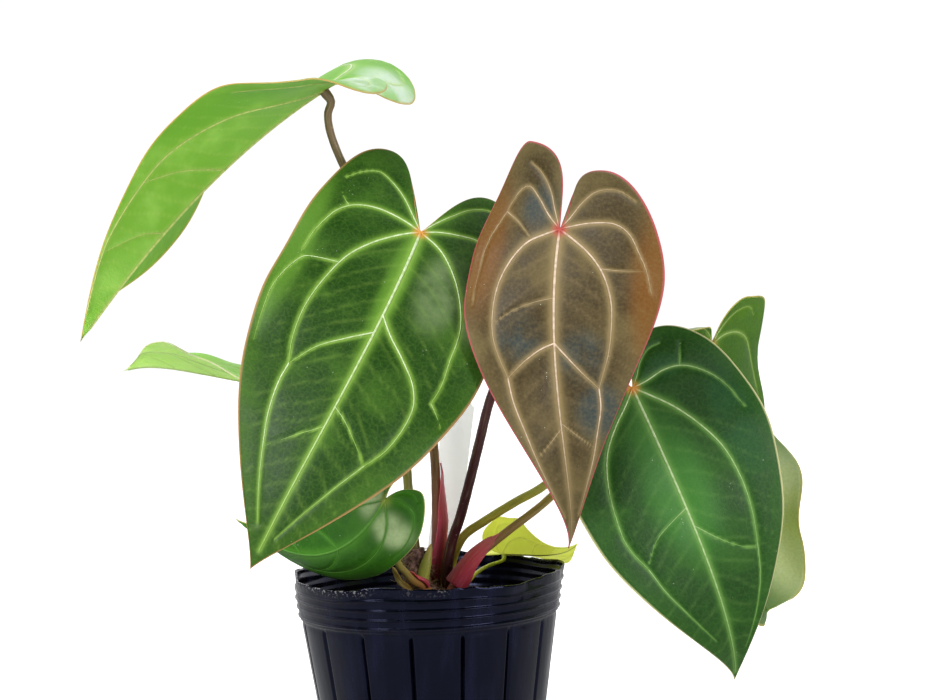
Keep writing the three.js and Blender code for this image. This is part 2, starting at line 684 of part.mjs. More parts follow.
function sheathGeometry(sheath) {
  const stalk = STALKS[sheath.stalk];
  const curve = new THREE.CatmullRomCurve3(stalkPoints(stalk), false, 'centripetal');
  const { steps, spread, samples } = SHEATH_GRID;
  const heights = curve.getSpacedPoints(samples).map((sample) => sample.z);
  const first = heights.findIndex((height) => height >= sheath.low);
  const last = heights.findIndex((height) => height >= sheath.high);
  const front = point(sheath.facing);
  const vertices = [];
  const normals = [];
  const triangles = [];
  for (let i = 0; i <= steps; i++) {
    const at = mix(first, last, i / steps) / samples;
    const centre = curve.getPointAt(at);
    const tangent = curve.getTangentAt(at);
    const facing = front.clone().addScaledVector(tangent, -front.dot(tangent)).normalize();
    const aside = new THREE.Vector3().crossVectors(tangent, facing);
    const radius = runThrough(sheath.radii, i / steps);
    const half = toRadians(mix(sheath.halfAngles[0], sheath.halfAngles[1], (i / steps) ** 1.5));
    for (let j = 0; j <= spread; j++) {
      const angle = mix(-half, half, j / spread);
      const out = facing.clone().multiplyScalar(Math.cos(angle)).addScaledVector(aside, Math.sin(angle));
      vertices.push(centre.clone().addScaledVector(out, radius));
      normals.push(out);
    }
  }
  for (let i = 0; i < steps; i++) {
    for (let j = 0; j < spread; j++) {
      const a = i * (spread + 1) + j;
      const b = a + 1;
      const c = b + spread + 1;
      const d = a + spread + 1;
      triangles.push([a, b, c], [a, c, d]);
    }
  }
  return thicken(vertices, normals, triangles, SHEATH_THICKNESS);
}

// Plant tag

function tagGeometry(extra = 0) {
  const half = TAG.width / 2 + extra;
  const { corner } = TAG;
  const shape = new THREE.Shape();
  shape.moveTo(0, -extra);
  shape.lineTo(half, TAG.point);
  shape.lineTo(half, TAG.length - corner);
  shape.lineTo(half - corner, TAG.length);
  shape.lineTo(corner - half, TAG.length);
  shape.lineTo(-half, TAG.length - corner);
  shape.lineTo(-half, TAG.point);
  shape.closePath();
  const thickness = TAG.thickness + 2 * extra;
  const tag = new THREE.ExtrudeGeometry(shape, { depth: thickness, bevelEnabled: false });
  tag.translate(0, 0, -thickness / 2);
  tag.rotateX(Math.PI / 2);
  tag.rotateY(toRadians(TAG.lean));
  tag.translate(...TAG.foot);
  return tag;
}

// Assembly

const plant = new THREE.Group();

function addPiece(name, geometry, color, roughness) {
  const mesh = new THREE.Mesh(geometry, new THREE.MeshStandardMaterial({ color, roughness, metalness: 0 }));
  mesh.name = name;
  plant.add(mesh);
}

function growthGeometry({ points, radii, sides }, extra = 0) {
  return tubeGeometry(points.map(point), radii, GROWTH_STEPS, sides, extra);
}

const sockets = [...Object.values(STALKS).map((stalk) => stalkGeometry(stalk, SEAT_GAP)),
  growthGeometry(BUD, SEAT_GAP), growthGeometry(BRACT, SEAT_GAP)];
const soilTools = [crownGeometry(SEAT_GAP, []), tagGeometry(SEAT_GAP)];

addPiece('pot', potGeometry(), 0x17181c, 0.35);
addPiece('potting_mix', soilGeometry(soilTools), 0x3a2a1e, 0.95);
addPiece('crown', crownGeometry(0, sockets), 0x5a4030, 0.85);

for (const [name, leaf] of Object.entries(LEAVES)) {
  const detail = leaf.length > LARGE_LEAF.length ? LARGE_LEAF : SMALL_LEAF;
  addPiece(name, bladeGeometry(leaf, detail), leaf.color, 0.6);
}
for (const [name, stalk] of Object.entries(STALKS)) {
  addPiece(name, stalkGeometry(stalk), stalk.color, 0.5);
}
for (const [name, sheath] of Object.entries(SHEATHS)) {
  addPiece(name, sheathGeometry(sheath), SHEATH_COLOR, 0.55);
}
addPiece('bud', growthGeometry(BUD), 0x7d8440, 0.5);
addPiece('bract', growthGeometry(BRACT), 0xc9bf8a, 0.6);
addPiece('plant_tag', tagGeometry(), 0xf5f5f2, 0.45);

export default plant;
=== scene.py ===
"""A potted anthurium hybrid: eight velvety heart-shaped leaves in a thin black nursery pot.

The plant's sizes are in millimetres here, as a grower would give them, and become metres when a
mesh is made. +Z is up, the plant's front looks along -Y, and the origin is under the pot's middle.
"""

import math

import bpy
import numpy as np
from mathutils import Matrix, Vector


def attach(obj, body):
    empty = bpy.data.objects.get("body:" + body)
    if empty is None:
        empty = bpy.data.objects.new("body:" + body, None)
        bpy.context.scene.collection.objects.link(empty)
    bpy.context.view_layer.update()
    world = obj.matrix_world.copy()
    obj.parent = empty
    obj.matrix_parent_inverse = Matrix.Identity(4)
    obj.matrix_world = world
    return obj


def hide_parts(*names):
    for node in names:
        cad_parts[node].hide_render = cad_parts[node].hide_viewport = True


bl_info = {
    "name": "Potted anthurium",
    "version": (1, 0, 0),
    "blender": (4, 5, 0),
    "location": "View3D > Sidebar > Anthurium",
    "description": "Builds the leaves, stalks, crown, potting mix and pot of an anthurium hybrid",
    "category": "Object",
}

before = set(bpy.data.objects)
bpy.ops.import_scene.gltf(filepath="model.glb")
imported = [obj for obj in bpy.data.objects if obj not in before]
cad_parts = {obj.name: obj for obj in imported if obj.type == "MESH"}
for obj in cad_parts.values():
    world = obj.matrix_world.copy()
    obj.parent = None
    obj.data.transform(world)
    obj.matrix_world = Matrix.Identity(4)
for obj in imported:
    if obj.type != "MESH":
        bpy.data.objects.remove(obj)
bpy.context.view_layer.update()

MM = 0.001
BODY = "root"

# The camera: a 70 mm lens on a 36 mm frame, a little above the rim and rolled a little
CAMERA = {"place": (18.1, -703.7, 188.5), "pitch": 1.1, "roll": 2.1, "lens": 70, "sensor": 36}

POT = {
    "height": 90,
    "rim_radius": 52.5,
    "base_radius": 38,
    "floor": 1.2,
    "collar_height": 16,
    "collar_step": 0.7,
    "ridge_drops": (4.4, 7.8, 11.3, 14.6),
    "ridge_half_width": 0.6,
    "grooves": 16,
    "first_groove": -97,
    "groove_half_width": 1.25,
    "panel_bulge": 0.35,
    "hole_count": 8,
    "hole_radius": 3.2,
    "hole_circle": 27,
}

MIX = {"drop": 15, "relief": 1.6, "edge_drop": 2}

# The crown's height, radius and middle at each old ring
CROWN = {
    "y": -2,
    "profile": ((58, 4, 2), (63, 7, 2), (70, 8.6, 2), (74, 10, 2), (76, 9.2, 2), (79, 10, 1.5),
                (82, 9, 0.5), (84.3, 7.6, -1.2), (85.2, 5.4, -3.9), (91, 5, -4.4), (96, 4.2, -4.8),
                (99, 3.5, -4.8)),
}

# Each leaf has its sinus, where the stalk meets the blade, the way its upper face looks, the turn
# of its tip in its own plane, and its bends in degrees. Each half has its width, the share of the
# length where it is widest, its lobe, the half angle of the gap beside the lobe, and its folds.
LEAVES = {
    "top_left": {
        "sinus": (-31, -18, 276), "facing": 160, "tilt": 61.5, "spin": 9.5, "length": 138,
        "arch": 47, "tip_curl": 1.5, "sweep": 27.5, "twist": -38.5, "fold_tip": 43,
        "taper": 0.25, "swell": 0.2, "point": 0.23, "shoulder": 0.62, "notch": 0.9, "wave": 0.8,
        "right": {
            "width": 49, "widest": 0.165, "lobe": 32, "lobe_at": 0.47, "gap": 19,
            "fold": -13.5, "cup": 8.5, "roll": -19.5, "droop": -54,
        },
        "left": {
            "width": 48, "widest": 0.37, "lobe": 21, "lobe_at": 0.45, "gap": 6.5,
            "fold": 33.5, "cup": -24, "roll": -74, "droop": -106,
        },
    },
    "front_left": {
        "sinus": (3, -45, 219), "facing": -74, "tilt": 38, "spin": -27, "length": 143,
        "arch": 17, "tip_curl": 26, "sweep": -14, "twist": -11, "fold_tip": -2,
        "taper": 0.13, "swell": 0.53, "point": 0.13, "shoulder": 0.7, "notch": 0.52, "wave": 1,
        "right": {
            "width": 41.5, "widest": 0.3, "lobe": 31, "lobe_at": 0.55, "gap": 23,
            "fold": -7, "cup": -12, "roll": 0, "droop": 0,
        },
        "left": {
            "width": 43.5, "widest": 0.28, "lobe": 36, "lobe_at": 0.48, "gap": 31,
            "fold": -2, "cup": 1, "roll": 0, "droop": -2,
        },
    },
    "front_right": {
        "sinus": (52.5, -64, 217.5), "facing": -109, "tilt": 19, "spin": -6, "length": 126,
        "arch": 34, "tip_curl": 37, "sweep": 28, "twist": 57, "fold_tip": 19,
        "taper": 0.38, "swell": 0.25, "point": 0.09, "shoulder": 0.45, "notch": 1.09, "wave": 1,
        "right": {
            "width": 38.5, "widest": 0.14, "lobe": 22.5, "lobe_at": 0.38, "gap": 33,
            "fold": 0, "cup": -7, "roll": 0, "droop": 22,
        },
        "left": {
            "width": 32, "widest": 0.2, "lobe": 30, "lobe_at": 0.57, "gap": 8,
            "fold": -2, "cup": -11, "roll": 0, "droop": 24,
        },
    },
    "right": {
        "sinus": (78.5, -37, 159.5), "facing": -79, "tilt": 20, "spin": 18, "length": 126.5,
        "arch": 23, "tip_curl": 43, "sweep": 5, "twist": 0, "fold_tip": 5,
        "taper": 0.27, "swell": 0.46, "point": 0.1, "shoulder": 0.54, "notch": 0.55, "wave": 0.8,
        "right": {
            "width": 42.5, "widest": 0.19, "lobe": 18.5, "lobe_at": 0.41, "gap": 20,
            "fold": 5, "cup": -2, "roll": 0, "droop": -4,
        },
        "left": {
            "width": 38.5, "widest": 0.24, "lobe": 30.5, "lobe_at": 0.5, "gap": 20,
            "fold": -5, "cup": -4, "roll": 0, "droop": 0,
        },
    },
    "back_right": {
        "sinus": (113.5, 0.5, 174), "facing": -58, "tilt": -3, "spin": -5, "length": 110,
        "arch": -8, "tip_curl": -7, "sweep": 29, "twist": 7, "fold_tip": 24,
        "taper": 0.04, "swell": 1.26, "point": 0.1, "shoulder": 1.12, "notch": 0.55, "wave": 0.8,
        "right": {
            "width": 35, "widest": 0.1, "lobe": 20, "lobe_at": 0.4, "gap": 20,
            "fold": -10, "cup": -17, "roll": 143, "droop": 31,
        },
        "left": {
            "width": 39, "widest": 0.25, "lobe": 14, "lobe_at": 0.5, "gap": 20,
            "fold": 9, "cup": 9, "roll": -1, "droop": 103,
        },
    },
    "low_left": {
        "sinus": (-13.5, -49, 123), "facing": -134, "tilt": 13, "spin": -27, "length": 82.5,
        "arch": 16, "tip_curl": -16, "sweep": -107, "twist": 39, "fold_tip": -8,
        "taper": 0.25, "swell": 0.51, "point": 0.13, "shoulder": 0.62, "notch": 0.55, "wave": 0.6,
        "right": {
            "width": 18, "widest": 0.16, "lobe": 8, "lobe_at": 0.61, "gap": 20,
            "fold": -21, "cup": -32, "roll": 1, "droop": -5,
        },
        "left": {
            "width": 23.5, "widest": 0.27, "lobe": 17, "lobe_at": 0.4, "gap": 17,
            "fold": -15, "cup": -3, "roll": 0, "droop": -89,
        },
    },
    "back_left": {
        "sinus": (-54.5, 14, 163), "facing": 112, "tilt": 102, "spin": 53, "length": 82.5,
        "arch": -9, "tip_curl": 31, "sweep": -27, "twist": -5, "fold_tip": 49,
        "taper": 0.35, "swell": 0.55, "point": 0.1, "shoulder": 0.55, "notch": 0.55, "wave": 0.6,
        "right": {
            "width": 27.5, "widest": 0.25, "lobe": 15, "lobe_at": 0.5, "gap": 20,
            "fold": 13, "cup": -2, "roll": -7, "droop": 0,
        },
        "left": {
            "width": 20.5, "widest": 0.25, "lobe": 15, "lobe_at": 0.5, "gap": 20,
            "fold": 1, "cup": -35, "roll": 0, "droop": 0,
        },
    },
    "young": {
        "sinus": (29.5, 25.5, 92), "facing": -97, "tilt": 96, "spin": 87, "length": 34.5,
        "arch": 14, "tip_curl": -51, "sweep": -31, "twist": 5, "fold_tip": -27,
        "taper": 0.35, "swell": 0.55, "point": 0.1, "shoulder": 0.55, "notch": 0.55, "wave": 0.3,
        "right": {
            "width": 18, "widest": 0.28, "lobe": 9, "lobe_at": 0.5, "gap": 20,
            "fold": 1, "cup": 8, "roll": -8, "droop": -14,
        },
        "left": {
            "width": 20.5, "widest": 0.25, "lobe": 8.5, "lobe_at": 0.5, "gap": 20,
            "fold": 34, "cup": 35, "roll": -23, "droop": 7,
        },
    },
}

# How a blade's middle line is walked, and where along it the halves roll and ruffle
BLADE = {
    "lobe_overrun": 1.05,
    "lobe_round": 0.55,
    "sinus_pull": 0.45,
    "roll_start": 0.3,
    "roll_end": 0.75,
    "ruffles": 3.5,
    "ruffle_start": {1: 3, -1: 1},
    "fan_start": 0.14,
    "spine_steps": 24,
    "lobe_steps": 10,
}
SIDE_NAMES = {1: "right", -1: "left"}
LARGE_LEAF = {"length": 60, "pieces": (90, 60, 46), "across": 40}
SMALL_LEAF = {"pieces": (46, 32, 26), "across": 24}

# Main veins of the three leaves that face the viewer, on the flat leaf: its right half has x
# above 0 and its tip is at the greatest y. Each vein is its width at the foot and its route.
VEINS = {
    "front_left": (
        (1.3, ((0, 0), (-5, 3), (-14, 11), (-21, 21), (-25, 35), (-26.5, 50), (-25, 63), (-22, 72))),
        (0.9, ((-22, 72), (-22, 80), (-20, 92), (-16, 104), (-11, 116), (-5, 128))),
        (1.0, ((0, 49), (-8, 55), (-16, 62), (-22, 72))),
        (1.1, ((0, 41), (5, 47), (13, 54), (20, 61), (23.5, 68), (24, 76), (22, 87), (18, 95))),
        (0.5, ((18, 95), (13, 106), (7, 120), (3, 130))),
        (1.1, ((0, 0), (9, 4), (17, 12), (23, 22), (27, 33), (28, 46), (29, 56), (28.5, 64))),
        (0.45, ((28.5, 64), (32, 67), (36, 71))),
        (1.2, ((0, 0), (-7, -3), (-18, -5), (-26, -3), (-31, 2), (-34, 9), (-36, 16), (-37, 25))),
        (0.4, ((-28, -2), (-30, -4), (-32, -7))),
        (0.9, ((0, 0), (-5, -7), (-10, -14), (-16, -20), (-22, -23.5), (-28, -21), (-33, -16))),
        (0.7, ((-23, 25), (-29, 25.5), (-35, 27), (-38, 33), (-40, 43), (-40, 55), (-38, 68))),
        (1.1, ((0, 0), (7, -4), (14, -6.5), (21, -8), (28, -5), (33, 3))),
        (0.8, ((0, 0), (4, -7), (9, -14), (15, -21), (23, -25), (30, -20))),
        (0.5, ((0, 81), (5, 84), (10, 88), (18, 95))),
        (0.4, ((0, 89), (-8, 96), (-16, 104))),
    ),
    "front_right": (
        (1.3, ((0, 0), (-5, 2), (-11, 5), (-16, 11), (-20, 20), (-21.5, 31), (-21, 40), (-17, 52))),
        (0.9, ((-17, 52), (-16, 60), (-13.5, 70), (-11, 80), (-7, 93), (-3, 105))),
        (1.3, ((0, 0), (6, 4), (12, 9), (17, 16), (20, 26), (20, 36), (18.5, 46), (14.5, 58))),
        (0.9, ((14.5, 58), (14.5, 65), (12.5, 74), (10, 84), (6, 96), (3, 106))),
        (1.1, ((0, 41), (-5, 43), (-11, 47), (-17, 52))),
        (1.1, ((0, 41), (5, 47), (10, 53), (14.5, 58))),
        (1.0, ((0, 0), (5, -1.5), (12, -3), (20, -3), (25, 0), (29, 7), (32, 14), (34, 23))),
        (0.5, ((16, 14), (23, 14.5), (32, 14))),
        (0.7, ((0, 0), (3, -4), (7, -10), (12, -14.5), (20, -15.5), (27, -12))),
        (0.9, ((0, 0), (-5, -5), (-10, -11), (-15, -15), (-18, -14), (-21, -9), (-22, -6))),
        (0.5, ((-22, -6), (-16, -2), (-10, 4))),
        (0.7, ((0, 0), (-3, -7), (-6, -14), (-11, -20), (-16, -23))),
        (0.4, ((-22, -6), (-26, 4), (-28, 16), (-29, 28))),
        (0.4, ((0, 25), (-8, 27), (-15, 30), (-21, 34))),
        (0.4, ((0, 71), (-6, 76), (-12, 80))),
        (0.4, ((0, 69), (5, 74), (11, 80))),
    ),
    "right": (
        (1.2, ((0, 0), (5, 5), (12, 13), (18, 23), (22, 33), (23.5, 44), (23, 55), (20, 70))),
        (0.4, ((20, 70), (17, 82), (11, 96), (5, 108))),
        (1.1, ((0, 0), (-5, 5), (-12, 11), (-19, 19), (-24, 31), (-26, 42), (-26, 52), (-22, 63))),
        (0.5, ((-22, 63), (-19, 73), (-13, 86), (-6, 100))),
        (0.9, ((0, 0), (6, -0.5), (14, -2), (21, -1), (28, 4), (33, 11), (36, 22))),
        (0.4, ((20, -1), (22, -5), (24, -9))),
        (0.6, ((0, 0), (3, -3), (7, -8), (12, -11.5), (17, -12))),
        (0.5, ((0, 55), (7, 63), (14, 69), (20, 72))),
        (0.5, ((0, 48), (-8, 51), (-15, 54.5), (-21, 61))),
        (0.9, ((0, 0), (-5, -6), (-11, -14), (-19, -19), (-27, -15), (-31, -6))),
        (0.9, ((0, 0), (-8, -3), (-18, -4), (-27, 1), (-32, 12), (-35, 24))),
    ),
}

# The usual veins of one half, for the other leaves. A place is a share of the half's width, and
# of the blade's length ahead of the sinus or of the lobe behind it.
USUAL_VEINS = (
    (1.0, ((0, 0), (0.15, 0.04), (0.34, 0.1), (0.5, 0.2), (0.56, 0.32), (0.55, 0.44),
           (0.47, 0.57), (0.36, 0.7), (0.22, 0.83), (0.1, 0.92))),
    (0.8, ((0, 0), (0.2, -0.2), (0.45, -0.25), (0.68, -0.08), (0.82, 0.08), (0.87, 0.2))),
    (0.6, ((0, 0), (0.12, -0.35), (0.3, -0.68), (0.5, -0.78), (0.66, -0.6))),
    (0.7, ((0, 0.36), (0.16, 0.4), (0.33, 0.46), (0.48, 0.56))),
    (0.45, ((0, 0.6), (0.14, 0.65), (0.28, 0.76))),
)
MIDRIB = {"width": 1.7, "end": 0.95}

# A vein's ribbon as a share of its width above and below the blade, how much it thins and sinks
# along its route, and how far across the half blade it may reach
VEIN_FORM = {"ribbon": {1: 0.28, -1: 0.5}, "thinning": 0.62, "sinking": 0.55, "reach": 0.93}

# How far the pale halo and the light tissue spread from a vein, in widths of it
HALO = 1.15
LIGHT_TISSUE = 3.2

# Radius of the coloured spot at the sinus
SINUS_SPOT = 2.6

# Minor veins, too fine to stand proud: their spacing along the midrib and their slope
MINOR_VEINS = {"spacing": 8.5, "slope": 0.55, "seed": 7}

# Typical of living leaf tissue, which is mostly water, and of polyethylene
LEAF_IOR = 1.42
POLYETHYLENE_IOR = 1.5

# Leaf finishes. Deep is the blade's own colour, light is the tissue near its veins and margin, and
# patch and blush are the marks of that leaf. The patches of front_left and top_left are painted
# sheen, and the pale greens of top_left and young are the blade's colour lightened with painted
# light that shines through it.
FINISHES = {
    "top_left": {
        # Pale greens: the blade's colour and painted light shining through it; its patch is painted sheen
        # on the lobes
        "deep": "#6fae3a", "light": "#8cc457", "under": "#76ac3a", "under_light": "#b0dc74",
        "vein": "#f2fad8", "glow": "#c4e49c", "rib": "#c8d27a", "margin": "#c49a5c",
        "patch": "#dcefe2", "blush": "#5f9f2c", "sinus": "#b8923c",
    },
    "front_left": {
        "deep": "#1a3e08", "light": "#52801f", "under": "#5d8a45", "under_light": "#7ba45c",
        "vein": "#dcebc4", "glow": "#94bc50", "rib": "#a9b878", "margin": "#b98a58",
        # patch: painted sheen right of the midrib
        "patch": "#6f8458", "blush": "#5c8a2c", "sinus": "#d8953c",
    },
    "front_right": {
        "deep": "#40341c", "light": "#8c7c4e", "under": "#8a5a50", "under_light": "#a07560",
        "vein": "#ecd4be", "glow": "#a08a60", "rib": "#b98f80", "margin": "#c45560",
        "patch": "#2c3e42", "blush": "#784a12", "sinus": "#b8423c",
    },
    "right": {
        "deep": "#143e06", "light": "#3c7020", "under": "#5d9048", "under_light": "#84ad64",
        "vein": "#cfe2ae", "glow": "#78a650", "rib": "#a9b878", "margin": "#dcd8a0",
        "patch": "#1b4a24", "blush": "#3c7a2a", "sinus": "#d8903c",
    },
    "back_right": {
        "deep": "#34600e", "light": "#587f26", "under": "#bccd94", "under_light": "#d0dcb0",
        "vein": "#c4e0a0", "glow": "#94b454", "rib": "#9aa25a", "margin": "#b0a25c",
        "patch": "#4c7a08", "blush": "#e8f2c8", "sinus": "#a8903c",
    },
    "low_left": {
        "deep": "#25590a", "light": "#4c8a20", "under": "#6c9c4a", "under_light": "#8cb868",
        "vein": "#5f9a32", "glow": "#468222", "rib": "#a9b878", "margin": "#c4bf78",
        "patch": "#c0d49c", "blush": "#357a20", "sinus": "#8ca03c",
    },
    "back_left": {
        "deep": "#74aa44", "light": "#9cca68", "under": "#a8d468", "under_light": "#c6e48e",
        "vein": "#d6eaa8", "glow": "#a8d06c", "rib": "#c0d884", "margin": "#dccab2",
        "patch": "#5c9436", "blush": "#82b84c", "sinus": "#b0a84c",
    },
    "young": {
        # Bright limes: the young blade's colour and painted light shining through it
        "deep": "#d2dc30", "light": "#e4ec60", "under": "#d0e054", "under_light": "#e4f08a",
        "vein": "#e6f2a0", "glow": "#dcea7c", "rib": "#e0e684", "margin": "#e4ea8c",
        "patch": "#eef6b4", "blush": "#b4cc34", "sinus": "#d0c84c",
    },
}

# The thin leaves that the light shines through, and the strength of their painted glow, an emission
# in the blade's light colour that stands for the light coming out on the viewer's side
BACKLIT_PAINTED_GLOW = {"top_left": 0.04, "back_right": 0.02, "back_left": 0.3, "young": 0.35}

# Marks on the flat leaf: their middle and their reach across and along, in millimetres. The patches
# of front_left and top_left are painted sheen.
PATCHES_AND_SHEEN = {
    "top_left": ((18, -22, 16, 14), (-14, -18, 14, 10)),
    "front_left": ((15, 22, 9, 18), (30, 20, 6, 16)),
    "front_right": ((-12, 38, 9, 9), (9, 47, 9, 11), (-9, -8, 7, 8), (14, 66, 9, 12)),
    "right": ((31, 25, 9, 26), (14, -3, 8, 5)),
    "back_right": ((22, -12, 12, 8), (-20, -6, 10, 8)),
    "low_left": ((-9, 4, 11, 9), (-15, -2, 8, 11), (8, 8, 9, 6)),
    "back_left": ((10, 40, 10, 20),),
    "young": ((0, 26, 12, 7),),
}
BLUSHES = {
    "top_left": ((36, 30, 9, 40),),
    "front_left": ((-39, 24, 6, 40), (-1, 26, 4.5, 32)),
    "front_right": ((-28, 6, 9, 26), (35, 24, 9, 34)),
    "right": ((0, 40, 14, 30),),
    "back_right": ((22, 80, 20, 38),),
    "low_left": ((-14, -6, 9, 8),),
    "back_left": ((-10, 30, 8, 30),),
    "young": ((-8, 8, 8, 10),),
}

# Stalks: the points that each runs through, its radius at the foot and at the leaf, and its
# colours from the foot to the leaf
STALKS = {
    "top_left": {
        "radii": (1.9, 1.5), "colors": ("#9f465c", "#a88459", "#988254", "#7b6548"),
        "points": ((1.5, 4.5, 78), (3.4, 4, 99), (4.2, 4, 120), (4.1, 4, 134), (2, 2, 160),
                   (-5, -2, 195), (-15, -6, 225), (-27, -10, 249), (-30.8, -13, 261),
                   (-31, -15, 267)),
    },
    "front_left": {
        "radii": (1.9, 1.5), "colors": ("#4b2e24", "#928e48", "#989f50", "#86844b"),
        "points": ((-5, -0.5, 78), (-4.2, -1, 90), (-5, -2, 105), (-6.4, -5, 125), (-6, -12, 160),
                   (-3, -22, 188), (0, -34, 207)),
    },
    "front_right": {
        "radii": (2.1, 1.5), "colors": ("#41131c", "#552329", "#6b363a", "#874c50"),
        "points": ((5.5, -4, 78), (9.3, -4, 99.9), (13.2, -7, 110.6), (17.6, -12, 125.5),
                   (21.9, -19, 141.2), (26.2, -26, 156.5), (36, -36, 180), (46, -48, 202)),
    },
    "right": {
        "radii": (1.8, 1.5), "colors": ("#c3ab46", "#d6ca52", "#ceca5c", "#aba854"),
        "points": ((6, 1.5, 78), (8.4, 1.4, 90), (14.1, 0, 102.4), (22.8, -3, 108.7),
                   (34.5, -9, 116.1), (46, -16, 123), (60, -21, 137), (72, -26, 151)),
    },
    "back_right": {
        "radii": (1.7, 1.3), "colors": ("#b7505c", "#c3a259", "#c5b06c", "#a8a159"),
        "points": ((6.5, -8.5, 78), (9.2, -11, 83.5), (13.2, -11, 89.1), (19.6, -11, 96.2),
                   (30.3, -11, 104.6), (47.9, -10, 117.4), (70, -3, 140), (90, 6, 160),
                   (105, 11, 171)),
    },
    "low_left": {
        "radii": (1.5, 1.3), "colors": ("#bc633c", "#a18948", "#9a9c4b", "#a8ab59"),
        "points": ((1.5, -9.5, 78), (-1.1, -12, 85.2), (-5.4, -17, 88.6), (-8.1, -23, 92.8),
                   (-10.3, -29, 97.1), (-10, -38, 108)),
    },
    "back_left": {
        "radii": (1.7, 1.3), "colors": ("#82653c", "#98a150", "#9cb04e", "#a8bc59"),
        "points": ((-3, 4, 78), (-8, 8, 92), (-20, 13, 117), (-36, 15.5, 140), (-49, 16, 153)),
    },
    "young": {
        "radii": (0.9, 0.7), "colors": ("#d6bc54", "#e4db5e", "#e4e95e", "#e0f363"),
        "points": ((9.5, -0.5, 78.5), (13.3, 2, 82.8), (16.2, 8, 84.6), (19.5, 15, 86.5),
                   (24, 21, 88)),
    },
}

# Sheaths: the stretch of stalk that each wraps, as heights, how far it stands off, how far round
# it reaches from its front at its foot and tip, and the way that its front looks
SHEATHS = {
    "top_left": {
        "low": 85.6, "high": 131, "radii": (3, 4.6, 2.2), "half_angles": (105, 16),
        "facing": (0.97, -0.25, 0), "colors": ("#a13c59", "#e0526c", "#f87689"),
    },
    "back_right": {
        "low": 85.4, "high": 103, "radii": (4.2, 3.6, 2), "half_angles": (105, 20),
        "facing": (-0.35, -0.75, 0.55), "colors": ("#952840", "#e05060", "#f88489"),
    },
    "low_left": {
        "low": 85.4, "high": 90.5, "radii": (2.6, 2.4, 2), "half_angles": (80, 25),
        "facing": (0.5, 0.2, 0.9), "colors": ("#952840", "#cc4154", "#e0595e"),
    },
}
SHEATH_THICKNESS = 0.4

BUD = {
    "points": ((-2.5, -5, 79), (-1.9, -6.4, 88), (0, -6.9, 95), (1.7, -7, 101)),
    "radii": (1.9, 2.6, 2.1, 0.7), "colors": ("#988241", "#adb050", "#a8ab4b", "#c3a159"),
}
BRACT = {
    "points": ((-5, -7.2, 79), (-7.5, -10, 84.5), (-10.4, -14.6, 88), (-12.7, -20, 94.4)),
    "radii": (1.1, 1.2, 1.2, 0.6), "colors": ("#cca854", "#f9d87b", "#fce48e", "#e0bc6c"),
}


def linear(code):
    """An sRGB hex colour as the linear colour that a shader takes."""
    parts = [int(code[i:i + 2], 16) / 255 for i in (1, 3, 5)]
    curved = [part / 12.92 if part <= 0.04045 else ((part + 0.055) / 1.055) ** 2.4 for part in parts]
    return (*curved, 1.0)


def add_node(tree, kind, settings=None, links=None, stops=None):
    """Adds a node with its settings, its inputs, each a value or another node's socket, and its stops."""
    node = tree.nodes.new(kind)
    for name, value in (settings or {}).items():
        setattr(node, name, value)
    for socket, value in (links or {}).items():
        if isinstance(value, bpy.types.NodeSocket):
            tree.links.new(value, node.inputs[socket])
        else:
            node.inputs[socket].default_value = value
    if stops:
        elements = node.color_ramp.elements
        while len(elements) < len(stops):
            elements.new(0.5)
        for element, (position, color) in zip(elements, stops):
            element.position = position
            element.color = color
    return node


# A colour mix node's sockets have the same names as its number sockets, so they are found by place
MIX_SHARE = 0
MIX_FIRST = 6
MIX_SECOND = 7
MIX_RESULT = 2


def painted(tree, base, coats):
    """Coats of colour over a base, each laid on by its own mask."""
    for color, mask in coats:
        links = {MIX_SHARE: mask, MIX_FIRST: base, MIX_SECOND: color}
        base = add_node(tree, "ShaderNodeMix", {"data_type": "RGBA"}, links).outputs[MIX_RESULT]
    return base


def grown(tree, value, low, high, least=0.0, most=1.0):
    """A number stretched from low and high to least and most, and held between them."""
    links = {0: value, 1: low, 2: high, 3: least, 4: most}
    return add_node(tree, "ShaderNodeMapRange", {"interpolation_type": "SMOOTHSTEP"}, links).outputs[0]


def new_material(name, values=None):
    """A material with only its output and a Principled shader, which takes those values."""
    material = bpy.data.materials.new(name)
    material.use_nodes = True
    tree = material.node_tree
    tree.nodes.clear()
    shader = add_node(tree, "ShaderNodeBsdfPrincipled", links=values)
    add_node(tree, "ShaderNodeOutputMaterial", links={"Surface": shader.outputs["BSDF"]})
    return material, tree, shader


